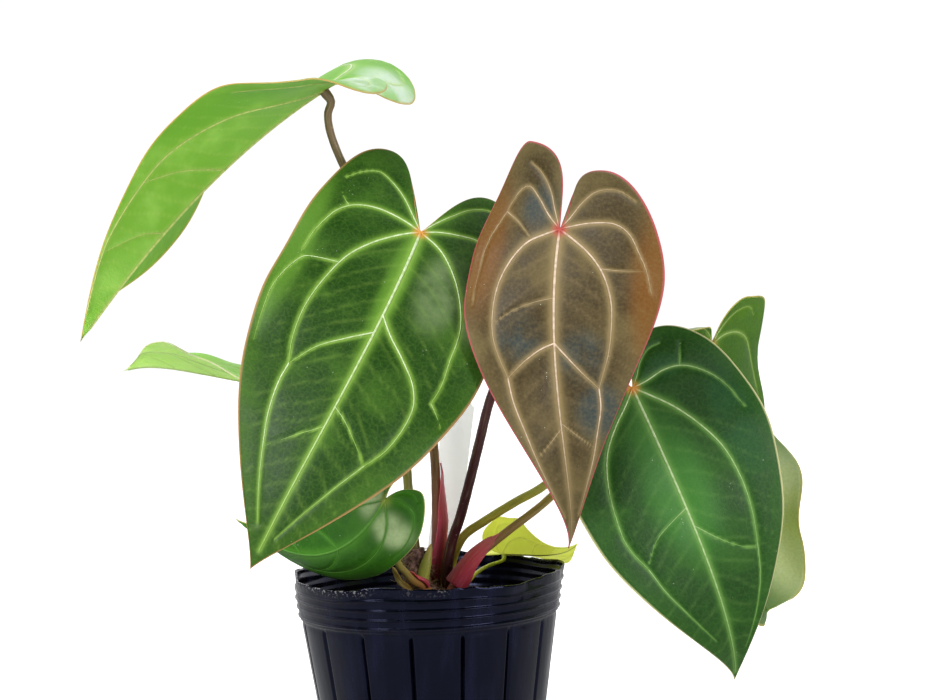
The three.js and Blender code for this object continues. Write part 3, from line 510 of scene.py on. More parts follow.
def leaf_tissue(name, finish, settings):
    """Living leaf blade: velvet-celled above and waxy below, netted with fine veins, with a painted glow on
    the thin backlit blades.
    """
    material, tree, shader = new_material(f"leaf_blade_{name}", {
        "IOR": LEAF_IOR, "Specular IOR Level": 0.3, "Sheen Weight": settings.velvet,
        "Sheen Roughness": 0.4, "Subsurface Radius": (1.0, 1.0, 0.4), "Subsurface Scale": 0.002})
    color = {key: linear(code) for key, code in finish.items()}
    flat = add_node(tree, "ShaderNodeAttribute", {"attribute_name": "flat"}).outputs["Vector"]
    marks = {}
    for key in ("vein", "close", "minor", "edge", "rim", "upper", "patch", "blush", "sinus"):
        marks[key] = add_node(tree, "ShaderNodeAttribute", {"attribute_name": key}).outputs["Fac"]
    cloud = add_node(tree, "ShaderNodeTexNoise", links={"Vector": flat, "Scale": 70, "Detail": 3})
    grain = add_node(tree, "ShaderNodeTexNoise", links={"Vector": flat, "Scale": 900, "Detail": 2})
    cells = add_node(tree, "ShaderNodeTexVoronoi", {"feature": "DISTANCE_TO_EDGE"},
                     {"Vector": flat, "Scale": 1 / settings.net_size})
    net = grown(tree, cells.outputs["Distance"], 0.0, 0.12, 0.045, 0.0)
    clouded = grown(tree, cloud.outputs["Fac"], 0.42, 0.75, 0.0, 0.34)
    grained = grown(tree, grain.outputs["Fac"], 0.35, 0.75, 0.0, 0.16)
    near_edge = grown(tree, marks["edge"], 0.0, 1.0, 0.0, 0.25)
    # Patches: the leaf's own marks, and painted sheen on front_left and top_left
    patch_marks_and_sheen = add_node(tree, "ShaderNodeMath", {"operation": "MULTIPLY"}, {
        0: grown(tree, marks["patch"], 0.0, 1.0, 0.0, 0.85),
        1: grown(tree, cloud.outputs["Fac"], 0.35, 0.6, 0.3, 1.0)}).outputs[0]
    upper = painted(tree, color["deep"], [
        (color["light"], clouded),
        (color["light"], near_edge),
        (color["light"], grown(tree, marks["close"], 0.3, 1.0, 0.0, 0.5)),
        (color["blush"], grown(tree, marks["blush"], 0.0, 1.0, 0.0, 0.8)),
        (color["patch"], patch_marks_and_sheen),
        (color["light"], grained),
        (color["glow"], net),
        (color["glow"], grown(tree, marks["minor"], 0.0, 1.0, 0.0, 0.12)),
        (color["glow"], grown(tree, marks["vein"], 0.0, 1.0, 0.0, 0.7)),
        (color["sinus"], marks["sinus"]),
    ])
    under = painted(tree, color["under"], [
        (color["under_light"], clouded),
        (color["blush"], grown(tree, marks["blush"], 0.0, 1.0, 0.0, 0.6)),
        (color["rib"], grown(tree, marks["minor"], 0.0, 1.0, 0.0, 0.12)),
        (color["rib"], grown(tree, marks["vein"], 0.0, 1.0, 0.0, 0.35)),
    ])
    face = painted(tree, under, [(upper, marks["upper"]), (color["margin"], marks["rim"])])
    specks = add_node(tree, "ShaderNodeTexVoronoi", links={"Vector": flat, "Scale": 420})
    drift = add_node(tree, "ShaderNodeTexNoise", links={"Vector": flat, "Scale": 60})
    dust = grown(tree, specks.outputs["Distance"], 0.03, 0.07, 1.0, 0.0)
    dusty = grown(tree, drift.outputs["Fac"], 0.52, 0.66)
    shown = add_node(tree, "ShaderNodeMath", {"operation": "MULTIPLY"}, {0: dust, 1: dusty}).outputs[0]
    seen = painted(tree, face, [(linear("#dfe8d4"), shown)])
    tree.links.new(seen, shader.inputs["Base Color"])
    roughness = grown(tree, cloud.outputs["Fac"], 0.3, 0.7, settings.roughness - 0.06,
                      settings.roughness + 0.1)
    tree.links.new(roughness, shader.inputs["Roughness"])
    raised = add_node(tree, "ShaderNodeMath", {"operation": "MULTIPLY_ADD"},
                      {0: net, 1: -0.8, 2: grain.outputs["Fac"]})
    bump = add_node(tree, "ShaderNodeBump", links={
        "Strength": 0.35, "Distance": 0.0003, "Height": raised.outputs[0]})
    tree.links.new(bump.outputs["Normal"], shader.inputs["Normal"])
    if name in BACKLIT_PAINTED_GLOW:
        shader.inputs["Subsurface Weight"].default_value = settings.glow
        # Painted glow: an emission in the blade's light colour, for the light shining through the blade
        shader.inputs["Emission Color"].default_value = color["light"]
        shader.inputs["Emission Strength"].default_value = BACKLIT_PAINTED_GLOW[name]
    return material


def vein_tissue(name, finish):
    """Pale vein: smoother and lighter than the blade, and fading along its length."""
    material, tree, shader = new_material(f"leaf_vein_{name}", {
        "IOR": LEAF_IOR, "Roughness": 0.5})
    flat = add_node(tree, "ShaderNodeAttribute", {"attribute_name": "flat"}).outputs["Vector"]
    strength = add_node(tree, "ShaderNodeAttribute", {"attribute_name": "vein"}).outputs["Fac"]
    upper = add_node(tree, "ShaderNodeAttribute", {"attribute_name": "upper"}).outputs["Fac"]
    fleck = add_node(tree, "ShaderNodeTexNoise", links={"Vector": flat, "Scale": 500, "Detail": 2})
    flecked = grown(tree, fleck.outputs["Fac"], 0.4, 0.65, 0.0, 0.5)
    above = painted(tree, linear(finish["light"]), [
        (linear(finish["glow"]), grown(tree, strength, 0.1, 0.5)),
        (linear(finish["vein"]), grown(tree, strength, 0.3, 0.95, 0.0, 0.85)),
        (linear(finish["glow"]), flecked),
    ])
    below = painted(tree, linear(finish["rib"]), [(linear(finish["under"]), flecked)])
    sinus = add_node(tree, "ShaderNodeAttribute", {"attribute_name": "sinus"}).outputs["Fac"]
    seen = painted(tree, below, [(above, upper), (linear(finish["sinus"]), sinus)])
    tree.links.new(seen, shader.inputs["Base Color"])
    return material


def stalk_tissue(name, codes, roughness=0.38):
    """Living stalk: a smooth waxed skin, streaked along its length, its colours from foot to leaf."""
    material, tree, shader = new_material(name, {"IOR": LEAF_IOR, "Roughness": roughness})
    along = add_node(tree, "ShaderNodeAttribute", {"attribute_name": "along"}).outputs["Fac"]
    flat = add_node(tree, "ShaderNodeAttribute", {"attribute_name": "flat"}).outputs["Vector"]
    stops = [(i / (len(codes) - 1), linear(code)) for i, code in enumerate(codes)]
    ramp = add_node(tree, "ShaderNodeValToRGB", links={"Fac": along}, stops=stops)
    drawn_out = add_node(tree, "ShaderNodeMapping", links={"Vector": flat, "Scale": (1, 0.06, 1)})
    streak = add_node(tree, "ShaderNodeTexNoise",
                      links={"Vector": drawn_out.outputs["Vector"], "Scale": 1400, "Detail": 3})
    fleck = add_node(tree, "ShaderNodeTexNoise", links={"Vector": flat, "Scale": 700, "Detail": 2})
    seen = painted(tree, ramp.outputs["Color"], [
        (linear("#3a2418"), grown(tree, streak.outputs["Fac"], 0.5, 0.8, 0.0, 0.25)),
        (linear("#d8cf9a"), grown(tree, streak.outputs["Fac"], 0.5, 0.2, 0.0, 0.2)),
        (linear("#efe9cf"), grown(tree, fleck.outputs["Fac"], 0.68, 0.76, 0.0, 0.3)),
    ])
    tree.links.new(seen, shader.inputs["Base Color"])
    bump = add_node(tree, "ShaderNodeBump", links={
        "Strength": 0.3, "Distance": 0.0002, "Height": streak.outputs["Fac"]})
    tree.links.new(bump.outputs["Normal"], shader.inputs["Normal"])
    return material


def black_polyethylene(settings):
    """Blow-moulded black polyethylene: glossy, drawn out in streaks painted lighter and bluer as a painted
    sheen, scuffed pale on its torn rim.
    """
    material, tree, shader = new_material("black_polyethylene", {
        "IOR": POLYETHYLENE_IOR, "Specular IOR Level": 0.25, "Specular Tint": (0.5, 0.55, 1.0, 1.0)})
    place = add_node(tree, "ShaderNodeTexCoord").outputs["Object"]
    scuff = add_node(tree, "ShaderNodeAttribute", {"attribute_name": "rim"}).outputs["Fac"]
    tall = add_node(tree, "ShaderNodeMapping", links={"Vector": place, "Scale": (1, 1, 0.15)})
    streak = add_node(tree, "ShaderNodeTexNoise",
                      links={"Vector": tall.outputs["Vector"], "Scale": 160, "Detail": 5})
    specks = add_node(tree, "ShaderNodeTexVoronoi", links={"Vector": place, "Scale": 330})
    drift = add_node(tree, "ShaderNodeTexNoise", links={"Vector": place, "Scale": 40, "Detail": 2})
    frayed = add_node(tree, "ShaderNodeTexNoise", links={"Vector": place, "Scale": 1100, "Detail": 3})
    dust = grown(tree, specks.outputs["Distance"], 0.04, 0.09, 1.0, 0.0)
    dusty = grown(tree, drift.outputs["Fac"], 0.6, 0.75, 0.0, 0.5)
    settled = add_node(tree, "ShaderNodeMath", {"operation": "MULTIPLY"}, {0: dust, 1: dusty})
    torn = add_node(tree, "ShaderNodeMath", {"operation": "MULTIPLY"}, {
        0: grown(tree, frayed.outputs["Fac"], 0.54, 0.66),
        1: grown(tree, drift.outputs["Fac"], 0.44, 0.56)}).outputs[0]
    scuffed = add_node(tree, "ShaderNodeMath", {"operation": "MULTIPLY"}, {0: torn, 1: scuff})
    seen = painted(tree, tuple(settings.color), [
        # Streaks: the plastic's drawn-out gloss, with a lighter blue colour in them that is painted sheen
        (linear("#14162c"), grown(tree, streak.outputs["Fac"], 0.45, 0.75, 0.0, 0.6)),
        (linear("#8f8a7c"), settled.outputs[0]),
        (linear("#8f8d8c"), scuffed.outputs[0]),
    ])
    tree.links.new(seen, shader.inputs["Base Color"])
    roughness = grown(tree, streak.outputs["Fac"], 0.3, 0.75, settings.roughness - 0.07,
                      settings.roughness + 0.14)
    tree.links.new(roughness, shader.inputs["Roughness"])
    ripple = add_node(tree, "ShaderNodeTexNoise",
                      links={"Vector": tall.outputs["Vector"], "Scale": 90, "Detail": 4})
    bump = add_node(tree, "ShaderNodeBump", links={
        "Strength": 0.5, "Distance": 0.0006, "Height": ripple.outputs["Fac"]})
    tree.links.new(bump.outputs["Normal"], shader.inputs["Normal"])
    return material


def rough_matter(name, codes, grain, roughness, bump_height):
    """Loose dry matter, such as bark, coir or perlite: two or more colours in broken grains."""
    material, tree, shader = new_material(name, {"Roughness": roughness})
    place = add_node(tree, "ShaderNodeTexCoord").outputs["Object"]
    noise = add_node(tree, "ShaderNodeTexNoise",
                     links={"Vector": place, "Scale": 1 / grain, "Detail": 5, "Roughness": 0.65})
    stops = [(0.3 + 0.4 * i / (len(codes) - 1), linear(code)) for i, code in enumerate(codes)]
    ramp = add_node(tree, "ShaderNodeValToRGB", links={"Fac": noise.outputs["Fac"]}, stops=stops)
    tree.links.new(ramp.outputs["Color"], shader.inputs["Base Color"])
    bump = add_node(tree, "ShaderNodeBump", links={
        "Strength": 0.8, "Distance": bump_height, "Height": noise.outputs["Fac"]})
    tree.links.new(bump.outputs["Normal"], shader.inputs["Normal"])
    return material


def polystyrene_with_painted_glow():
    """Blank white polystyrene plant tag: satin, faintly scratched along its length, with a faint painted
    glow.
    """
    # Painted glow: a faint emission in the tag's white
    material, tree, shader = new_material("polystyrene_with_painted_glow", {
        "Subsurface Weight": 1.0, "Subsurface Radius": (1.0, 1.0, 1.0), "Subsurface Scale": 0.004,
        "Emission Color": linear("#fafaf7"), "Emission Strength": 0.25})
    place = add_node(tree, "ShaderNodeTexCoord").outputs["Object"]
    tall = add_node(tree, "ShaderNodeMapping", links={"Vector": place, "Scale": (1, 1, 0.05)})
    scratch = add_node(tree, "ShaderNodeTexNoise",
                       links={"Vector": tall.outputs["Vector"], "Scale": 2500, "Detail": 2})
    seen = painted(tree, linear("#fafaf7"), [
        (linear("#e4e4de"), grown(tree, scratch.outputs["Fac"], 0.55, 0.8, 0.0, 0.5)),
    ])
    tree.links.new(seen, shader.inputs["Base Color"])
    tree.links.new(grown(tree, scratch.outputs["Fac"], 0.3, 0.7, 0.4, 0.55), shader.inputs["Roughness"])
    return material


def linked(name, data):
    """A new object in the scene, with its data."""
    thing = bpy.data.objects.new(name, data)
    bpy.context.scene.collection.objects.link(thing)
    return thing


def made_plain(piece):
    """Turns what a piece's modifiers make of it into its own plain mesh."""
    bpy.context.view_layer.update()
    graph = bpy.context.evaluated_depsgraph_get()
    mesh = bpy.data.meshes.new_from_object(piece.evaluated_get(graph))
    piece.modifiers.clear()
    piece.data = mesh


def make_piece(name, points, faces, materials, replaces=(), shades=None, marks=None):
    """A piece from points in millimetres, on the plant's one body, with its attributes."""
    mesh = bpy.data.meshes.new(name)
    mesh.from_pydata((np.asarray(points) * MM).tolist(), [], faces)
    for material in materials:
        mesh.materials.append(material)
    if shades is not None:
        mesh.polygons.foreach_set("material_index", shades)
    for key, values in (marks or {}).items():
        values = np.asarray(values, np.float32)
        if values.ndim == 2:
            attribute = mesh.attributes.new(key, "FLOAT_VECTOR", "POINT")
            attribute.data.foreach_set("vector", values.ravel())
        else:
            attribute = mesh.attributes.new(key, "FLOAT", "POINT")
            attribute.data.foreach_set("value", values)
    mesh.shade_smooth()
    mesh.set_sharp_from_angle(angle=math.radians(50))
    mesh.validate()
    piece = linked(name, mesh)
    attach(piece, BODY)
    if replaces:
        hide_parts(*replaces)
    return piece


def unit(vectors):
    """Vectors at a length of one."""
    return vectors / np.maximum(np.linalg.norm(vectors, axis=-1, keepdims=True), 1e-12)


def smooth_step(values, low, high):
    """A soft step from 0 at low to 1 at high."""
    share = np.clip((values - low) / (high - low), 0, 1)
    return share * share * (3 - 2 * share)


def turned(first, second, angle):
    """Two square vectors turned in their own plane, the first towards the second."""
    cosine = math.cos(angle)
    sine = math.sin(angle)
    return first * cosine + second * sine, second * cosine - first * sine


def bezier(corners, count):
    """Points along a cubic curve with four corners."""
    share = np.linspace(0, 1, count + 1)[:, None]
    a, b, c, d = (np.array(corner, float) for corner in corners)
    rest = 1 - share
    return rest ** 3 * a + 3 * rest ** 2 * share * b + 3 * rest * share ** 2 * c + share ** 3 * d


def smooth_path(points, spacing):
    """A smooth line through points, sampled about evenly."""
    points = np.array(points, float)
    padded = np.vstack([2 * points[0] - points[1], points, 2 * points[-1] - points[-2]])
    reach = np.sqrt(np.linalg.norm(np.diff(padded, axis=0), axis=1))
    samples = []
    for i in range(1, len(padded) - 2):
        before, here, there, after = padded[i - 1:i + 3]
        d0, d1, d2 = reach[i - 1:i + 2]
        leave = ((here - before) / d0 - (there - before) / (d0 + d1) + (there - here) / d1) * d1
        arrive = ((there - here) / d1 - (after - here) / (d1 + d2) + (after - there) / d2) * d1
        count = max(2, int(np.linalg.norm(there - here) / spacing))
        t = np.linspace(0, 1, count, endpoint=False)[:, None]
        samples.append((2 * t ** 3 - 3 * t ** 2 + 1) * here + (t ** 3 - 2 * t ** 2 + t) * leave
                       + (-2 * t ** 3 + 3 * t ** 2) * there + (t ** 3 - t ** 2) * arrive)
    return np.vstack([*samples, points[-1:]])


class Blade:
    """The middle surface of a blade, from places on the flat leaf to places on the plant."""

    def __init__(self, leaf):
        self.leaf = leaf
        facing = math.radians(leaf["facing"])
        tilt = math.radians(leaf["tilt"])
        spin = math.radians(leaf["spin"])
        ahead = np.array((math.cos(facing), math.sin(facing), 0.0))
        up = np.array((0.0, 0.0, 1.0))
        normal = ahead * math.cos(tilt) + up * math.sin(tilt)
        down = ahead * math.sin(tilt) - up * math.cos(tilt)
        along = down * math.cos(spin) + np.cross(normal, down) * math.sin(spin)
        length = leaf["length"]
        arch = math.radians(leaf["arch"]) / length
        curl = 3 * math.radians(leaf["tip_curl"]) / length ** 3
        self.front = self.walk(along, normal, 1, length, BLADE["spine_steps"],
                               lambda place: arch + curl * place ** 2)
        self.lobes = {}
        for sign, side in SIDE_NAMES.items():
            reach = leaf[side]["lobe"] * BLADE["lobe_overrun"]
            droop = -math.radians(leaf[side]["droop"]) / reach
            self.lobes[sign] = self.walk(along, normal, -1, reach, BLADE["lobe_steps"],
                                         lambda place, bend=droop: bend)

    def walk(self, along, normal, sign, reach, steps, bend_at):
        """Stations along the middle line, each with its place, its upper normal and its right."""
        step = reach / steps
        place = np.array(self.leaf["sinus"], float)
        across = np.cross(normal, along)
        stations = [(place, normal, across)]
        lean = sign * step * math.radians(self.leaf["sweep"]) / self.leaf["length"]
        turn = sign * step * math.radians(self.leaf["twist"]) / self.leaf["length"]
        for i in range(steps):
            along, normal = turned(along, normal, -sign * step * bend_at((i + 0.5) * step))
            along, across = turned(along, across, lean)
            normal = turned(normal, across, turn)[0]
            along = unit(along)
            normal = unit(normal - along * (along @ normal))
            across = np.cross(normal, along)
            place = place + sign * step * along
            stations.append((place, normal, across))
        return np.array(stations)

    def middle(self, x, y, sign):
        """Places on the middle surface, on the half that each sign names."""
        result = np.zeros((len(x), 3))
        for one, side in SIDE_NAMES.items():
            chosen = sign == one
            result[chosen] = self.middle_of_half(x[chosen], y[chosen], one, self.leaf[side])
        return result

    def middle_of_half(self, x, y, sign, half):
        """The half blade, folded at the midrib, bowed across and ruffled at its margin."""
        out = np.abs(x)
        length = self.leaf["length"]
        ahead = y >= 0
        reach = half["lobe"] * BLADE["lobe_overrun"]
        at = np.where(ahead, y / length * BLADE["spine_steps"], -y / reach * BLADE["lobe_steps"])
        stations = np.zeros((len(x), 3, 3))
        for rows, chosen in ((self.front, ahead), (self.lobes[sign], ~ahead)):
            whole = np.clip(at[chosen].astype(int), 0, len(rows) - 2)
            share = np.clip(at[chosen] - whole, 0, 1)[:, None, None]
            stations[chosen] = rows[whole] * (1 - share) + rows[whole + 1] * share
        share = np.clip(y / length, 0, 1)
        rolled = smooth_step(share, BLADE["roll_start"], BLADE["roll_end"])
        fold = np.radians(half["fold"] + self.leaf["fold_tip"] * share)
        bow = np.radians(half["cup"] + half["roll"] * rolled) * out / half["width"] / 2
        chord = out * np.sinc(bow / math.pi)
        phase = 2 * math.pi * BLADE["ruffles"] * y / length + BLADE["ruffle_start"][sign]
        ruffle = self.leaf["wave"] * (out / half["width"]) ** 2 * np.sin(phase)
        aside = (sign * chord * np.cos(fold + bow))[:, None]
        lift = (chord * np.sin(fold + bow) + ruffle)[:, None]
        return stations[:, 0] + stations[:, 2] * aside + stations[:, 1] * lift

    def half_normal(self, x, y, sign):
        """The upper normal, from two places a nudge away."""
        nudge = 0.05
        here = self.middle(x, y, sign)
        outward = (self.middle(x + sign * nudge, y, sign) - here) * sign[:, None]
        onward = self.middle(x, y + nudge, sign) - here
        return unit(np.cross(onward, outward))

    def at(self, flat):
        """Places and upper normals for places on the flat leaf."""
        x = flat[:, 0]
        y = flat[:, 1]
        sign = np.where(x < 0, -1, 1)
        normal = self.half_normal(x, y, sign)
        on_midrib = np.abs(x) < 1e-9
        normal[on_midrib] += self.half_normal(x[on_midrib], y[on_midrib], -sign[on_midrib])
        return self.middle(x, y, sign), unit(normal)


def half_outline(leaf, side, pieces):
    """Half of the flat outline, from the tip through the widest place and the lobe to the sinus."""
    half = leaf[side]
    length = leaf["length"]
    width = half["width"]
    lobe = half["lobe"]
    widest = half["widest"] * length
    lobe_at = half["lobe_at"] * width
    rounded = lobe_at + BLADE["lobe_round"] * (width - lobe_at)
    gap = math.radians(half["gap"])
    pull = BLADE["sinus_pull"] * lobe
    rest = length - widest
    spans = (
        ((0, length), (leaf["point"] * width, length - leaf["taper"] * rest),
         (width, widest + leaf["swell"] * rest), (width, widest)),
        ((width, widest), (width, widest - leaf["shoulder"] * (widest + lobe)),
         (rounded, -lobe), (lobe_at, -lobe)),
        ((lobe_at, -lobe), (lobe_at * (1 - leaf["notch"]), -lobe),
         (pull * math.sin(gap), -pull * math.cos(gap)), (0, 0)),
    )
    curves = [bezier(corners, count)[1:] for corners, count in zip(spans, pieces)]
    return np.vstack([[(0, length)], *curves])


def blade_grid(leaf, pieces, across):
    """Flat places and triangles of a whole blade, in rows from the midrib out to the margin."""
    length = leaf["length"]
    fan_start = BLADE["fan_start"] * length
    sinus = pieces[0] + pieces[1]
    rows = sinus + pieces[2]
    heights = np.concatenate([np.linspace(length, fan_start, pieces[0] + 1),
                              np.linspace(fan_start, 0, pieces[1] + 1)[1:]])
    flat = [np.column_stack([np.zeros(sinus + 1), heights])]
    triangles = []
    count = sinus + 1
    roots = np.minimum(np.arange(rows), sinus)
    shares = np.linspace(0, 1, across + 1)[1:]
    for sign, side in SIDE_NAMES.items():
        outline = half_outline(leaf, side, pieces)[:rows]
        x = sign * outline[1:, :1] * shares
        y = heights[roots[1:], None] * (1 - shares) + outline[1:, 1:] * shares
        flat.append(np.column_stack([x.ravel(), y.ravel()]))
        grid = np.zeros((rows, across + 1), int)
        grid[:, 0] = roots
        grid[1:, 1:] = count + np.arange((rows - 1) * across).reshape(rows - 1, across)
        count += (rows - 1) * across
        a, b, c, d = (part.ravel() for part in (grid[:-1, :-1], grid[:-1, 1:], grid[1:, 1:],
                                                grid[1:, :-1]))
        odd = (np.add.outer(np.arange(rows - 1), np.arange(across)) % 2 == 1).ravel()
        first = np.where(odd[:, None], np.column_stack([a, b, c]), np.column_stack([a, b, d]))
        second = np.where(odd[:, None], np.column_stack([a, c, d]), np.column_stack([b, c, d]))
        both = np.vstack([first, second])
        whole = (both[:, 0] != both[:, 1]) & (both[:, 1] != both[:, 2]) & (both[:, 2] != both[:, 0])
        triangles.append(both[whole] if sign > 0 else both[whole][:, ::-1])
    return np.vstack(flat), np.vstack(triangles)


def main_veins(name, leaf):
    """The raised veins of a leaf: each its width at the foot and its smooth route on the flat leaf."""
    length = leaf["length"]
    veins = [(MIDRIB["width"], np.array([(0, 0), (0, MIDRIB["end"] * length)], float))]
    scale = min(1.0, length / 110)
    if name in VEINS:
        veins += [(width, np.array(route, float)) for width, route in VEINS[name]]
    else:
        for sign, side in SIDE_NAMES.items():
            half = leaf[side]
            for width, route in USUAL_VEINS:
                places = [(sign * x * half["width"], y * (length if y > 0 else half["lobe"]))
                          for x, y in route]
                veins.append((width * scale, np.array(places)))
    return [(width, kept_inside(smooth_path(route, 1.3), leaf)) for width, route in veins]


def kept_inside(route, leaf):
    """A vein's route drawn in where it would run past the blade's margin."""
    route = route.copy()
    for sign, side in SIDE_NAMES.items():
        outline = half_outline(leaf, side, (40, 40, 8))[:81]
        widest = VEIN_FORM["reach"] * np.interp(route[:, 1], outline[::-1, 1], outline[::-1, 0])
        chosen = route[:, 0] * sign > 0
        route[chosen, 0] = sign * np.minimum(route[chosen, 0] * sign, widest[chosen])
    return route


def minor_veins(leaf):
    """Fine side veins between the main ones, at even spacing with a little seeded drift."""
    rng = np.random.default_rng(MINOR_VEINS["seed"])
    length = leaf["length"]
    veins = []
    for sign, side in SIDE_NAMES.items():
        width = leaf[side]["width"]
        for y in np.arange(0.06 * length, 0.9 * length, MINOR_VEINS["spacing"]):
            reach = 0.85 * width * math.sqrt(max(0.0, 1 - y / length))
            drift = rng.normal(0, 1.2, 4)
            x = np.linspace(0, reach, 4)
            rise = MINOR_VEINS["slope"] * x + 0.006 * x ** 2
            veins.append((0.35, smooth_path(np.column_stack([sign * x, y + rise + drift]), 2.5)))
    return veins


def nearness(flat, veins, *spreads):
    """How close each place is to the nearest vein, from 1 on it to 0, fading over each spread."""
    starts = np.vstack([route[:-1] for _, route in veins])
    ends = np.vstack([route[1:] for _, route in veins])
    reach = np.concatenate([width * np.linspace(1, 0.45, len(route) - 1) for width, route in veins])
    apart = np.zeros(len(flat))
    legs = ends - starts
    squares = np.maximum((legs ** 2).sum(1), 1e-9)
    for low in range(0, len(flat), 2000):
        gap = flat[low:low + 2000, None] - starts
        share = np.clip((gap * legs).sum(2) / squares, 0, 1)
        gap -= share[..., None] * legs
        apart[low:low + 2000] = (np.sqrt((gap ** 2).sum(2)) / reach).min(1)
    return [np.exp(-(apart / spread) ** 1.3) for spread in spreads]


def marked(flat, spots):
    """A soft mask over spots, each with its middle and its reach across and along."""
    mask = np.zeros(len(flat))
    for x, y, across, along in spots:
        gap = ((flat[:, 0] - x) / across) ** 2 + ((flat[:, 1] - y) / along) ** 2
        mask = np.maximum(mask, np.exp(-gap ** 1.5))
    return mask


def open_edges(triangles):
    """The directed edges that only one triangle has."""
    edges = np.vstack([triangles[:, (0, 1)], triangles[:, (1, 2)], triangles[:, (2, 0)]])
    count = triangles.max() + 1
    keys = edges[:, 0] * count + edges[:, 1]
    backward = edges[:, 1] * count + edges[:, 0]
    return edges[~np.isin(keys, backward)]


def closed_sheet(triangles, count):
    """Faces of a thin sheet: its upper points come first, then as many lower ones."""
    edges = open_edges(triangles)
    start, end = edges[:, 0], edges[:, 1]
    walls = np.vstack([np.column_stack([end, start, count + start]),
                       np.column_stack([end, count + start, count + end])])
    return np.vstack([triangles, triangles[:, ::-1] + count, walls]).tolist()


def rib_rings(blade, width, route, height, half_thickness, face):
    """Rings of a raised vein that lies on one face of a blade, thinning along its route."""
    shares = np.linspace(0, 1, len(route))
    along = unit(np.gradient(route, axis=0))
    aside = np.column_stack([along[:, 1], -along[:, 0]])
    halves = VEIN_FORM["ribbon"][face] * width * (1 - VEIN_FORM["thinning"] * shares)
    profile = ((-1, -0.25), (-0.6, 0.7), (0, 1), (0.6, 0.7), (1, -0.25), (0, -0.6))
    rings = []
    for out, rise in profile:
        flat = route + aside * (out * halves)[:, None]
        places, normals = blade.at(flat)
        lift = half_thickness + rise * height * (1 - VEIN_FORM["sinking"] * shares)
        rings.append(places + normals * (face * lift)[:, None])
    return np.stack(rings, 1), shares


def ring_faces(count, sides, first, turned_over):
    """Faces of a closed tube over rings of points, with flat ends."""
    faces = []
    for i in range(count - 1):
        for j in range(sides):
            k = (j + 1) % sides
            low = first + i * sides
            faces.append((low + j, low + k, low + sides + k, low + sides + j))
    faces.append(tuple(first + j for j in reversed(range(sides))))
    faces.append(tuple(first + (count - 1) * sides + j for j in range(sides)))
    return [face[::-1] for face in faces] if turned_over else faces


def leaf_piece(name, settings):
    """One blade with its margin, raised veins above and ribs below."""
    leaf = LEAVES[name]
    detail = LARGE_LEAF if leaf["length"] > LARGE_LEAF["length"] else SMALL_LEAF
    flat, triangles = blade_grid(leaf, detail["pieces"], detail["across"])
    blade = Blade(leaf)
    places, normals = blade.at(flat)
    veins = main_veins(name, leaf)
    near_vein, close = nearness(flat, veins, HALO, LIGHT_TISSUE)
    minor = nearness(flat, minor_veins(leaf), 2.2)[0]
    outlines = [half_outline(leaf, side, detail["pieces"]) * (sign, 1)
                for sign, side in SIDE_NAMES.items()]
    near_edge, at_edge = nearness(flat, [(1, outline) for outline in outlines], 7, 0.35)
    pillow = settings.pillow / MM * (0.6 - close)
    half = settings.thickness / MM / 2 * (1 - 0.5 * at_edge)
    upper = places + normals * (half + pillow * (1 - at_edge))[:, None]
    lower = places + normals * (pillow * (1 - at_edge) - half)[:, None]
    count = len(flat)
    faces = closed_sheet(triangles, count)
    points = [upper, lower]
    places_flat = [flat, flat]
    levels = [np.full(count, 1.0), np.full(count, 0.0)]
    strengths = [near_vein, near_vein]
    shades = [0] * len(faces)
    total = 2 * count
    for face in (1, -1):
        height = (settings.vein_height if face > 0 else settings.rib_height) / MM
        for width, route in veins:
            tall = height * min(1.0, width / 1.2)
            rings, shares = rib_rings(blade, width, route, tall, settings.thickness / MM / 2, face)
            sides = rings.shape[1]
            added = ring_faces(len(rings), sides, total, face > 0)
            faces += added
            shades += [1] * len(added)
            points.append(rings.reshape(-1, 3))
            places_flat.append(np.repeat(route, sides, axis=0))
            levels.append(np.full(len(rings) * sides, float(face > 0)))
            fade = (1 - 0.6 * shares) * min(1.0, 0.4 + 0.6 * width)
            strengths.append(np.repeat(fade, sides))
            total += len(rings) * sides
    flat_all = np.vstack(places_flat)
    extra = total - 2 * count
    wide = {
        "minor": minor, "close": close, "edge": near_edge, "rim": smooth_step(at_edge, 0.25, 0.7),
        "patch": marked(flat, PATCHES_AND_SHEEN[name]), "blush": marked(flat, BLUSHES[name]),
    }
    marks = {key: np.concatenate([values, values, np.zeros(extra)]) for key, values in wide.items()}
    marks["flat"] = np.column_stack([flat_all * MM, 0.05 * np.concatenate(levels)])
    marks["upper"] = np.concatenate(levels)
    marks["vein"] = np.concatenate(strengths)
    marks["sinus"] = np.exp(-((flat_all ** 2).sum(1) / SINUS_SPOT ** 2) ** 1.5)
    finish = FINISHES[name]
    materials = [leaf_tissue(name, finish, settings), vein_tissue(name, finish)]
    return make_piece(f"blade_{name}", np.vstack(points), faces, materials,
                      (f"leaf_{name}",), shades, marks)


def framed(path):
    """Two directions square to a path, carried along it without twist."""
    tangents = unit(np.gradient(path, axis=0))
    side = np.cross(tangents[0], (0.0, 1.0, 0.0))
    sides = []
    for tangent in tangents:
        side = unit(side - tangent * (side @ tangent))
        sides.append(side)
    return np.array(sides), np.cross(tangents, sides)


def rings_round(path, angles, radii):
    """Round rings of points along a path."""
    first, second = framed(path)
    ring = np.cos(angles)[None, :, None] * first[:, None] + np.sin(angles)[None, :, None] * second[:, None]
    return path[:, None] + ring * radii[:, None, None]


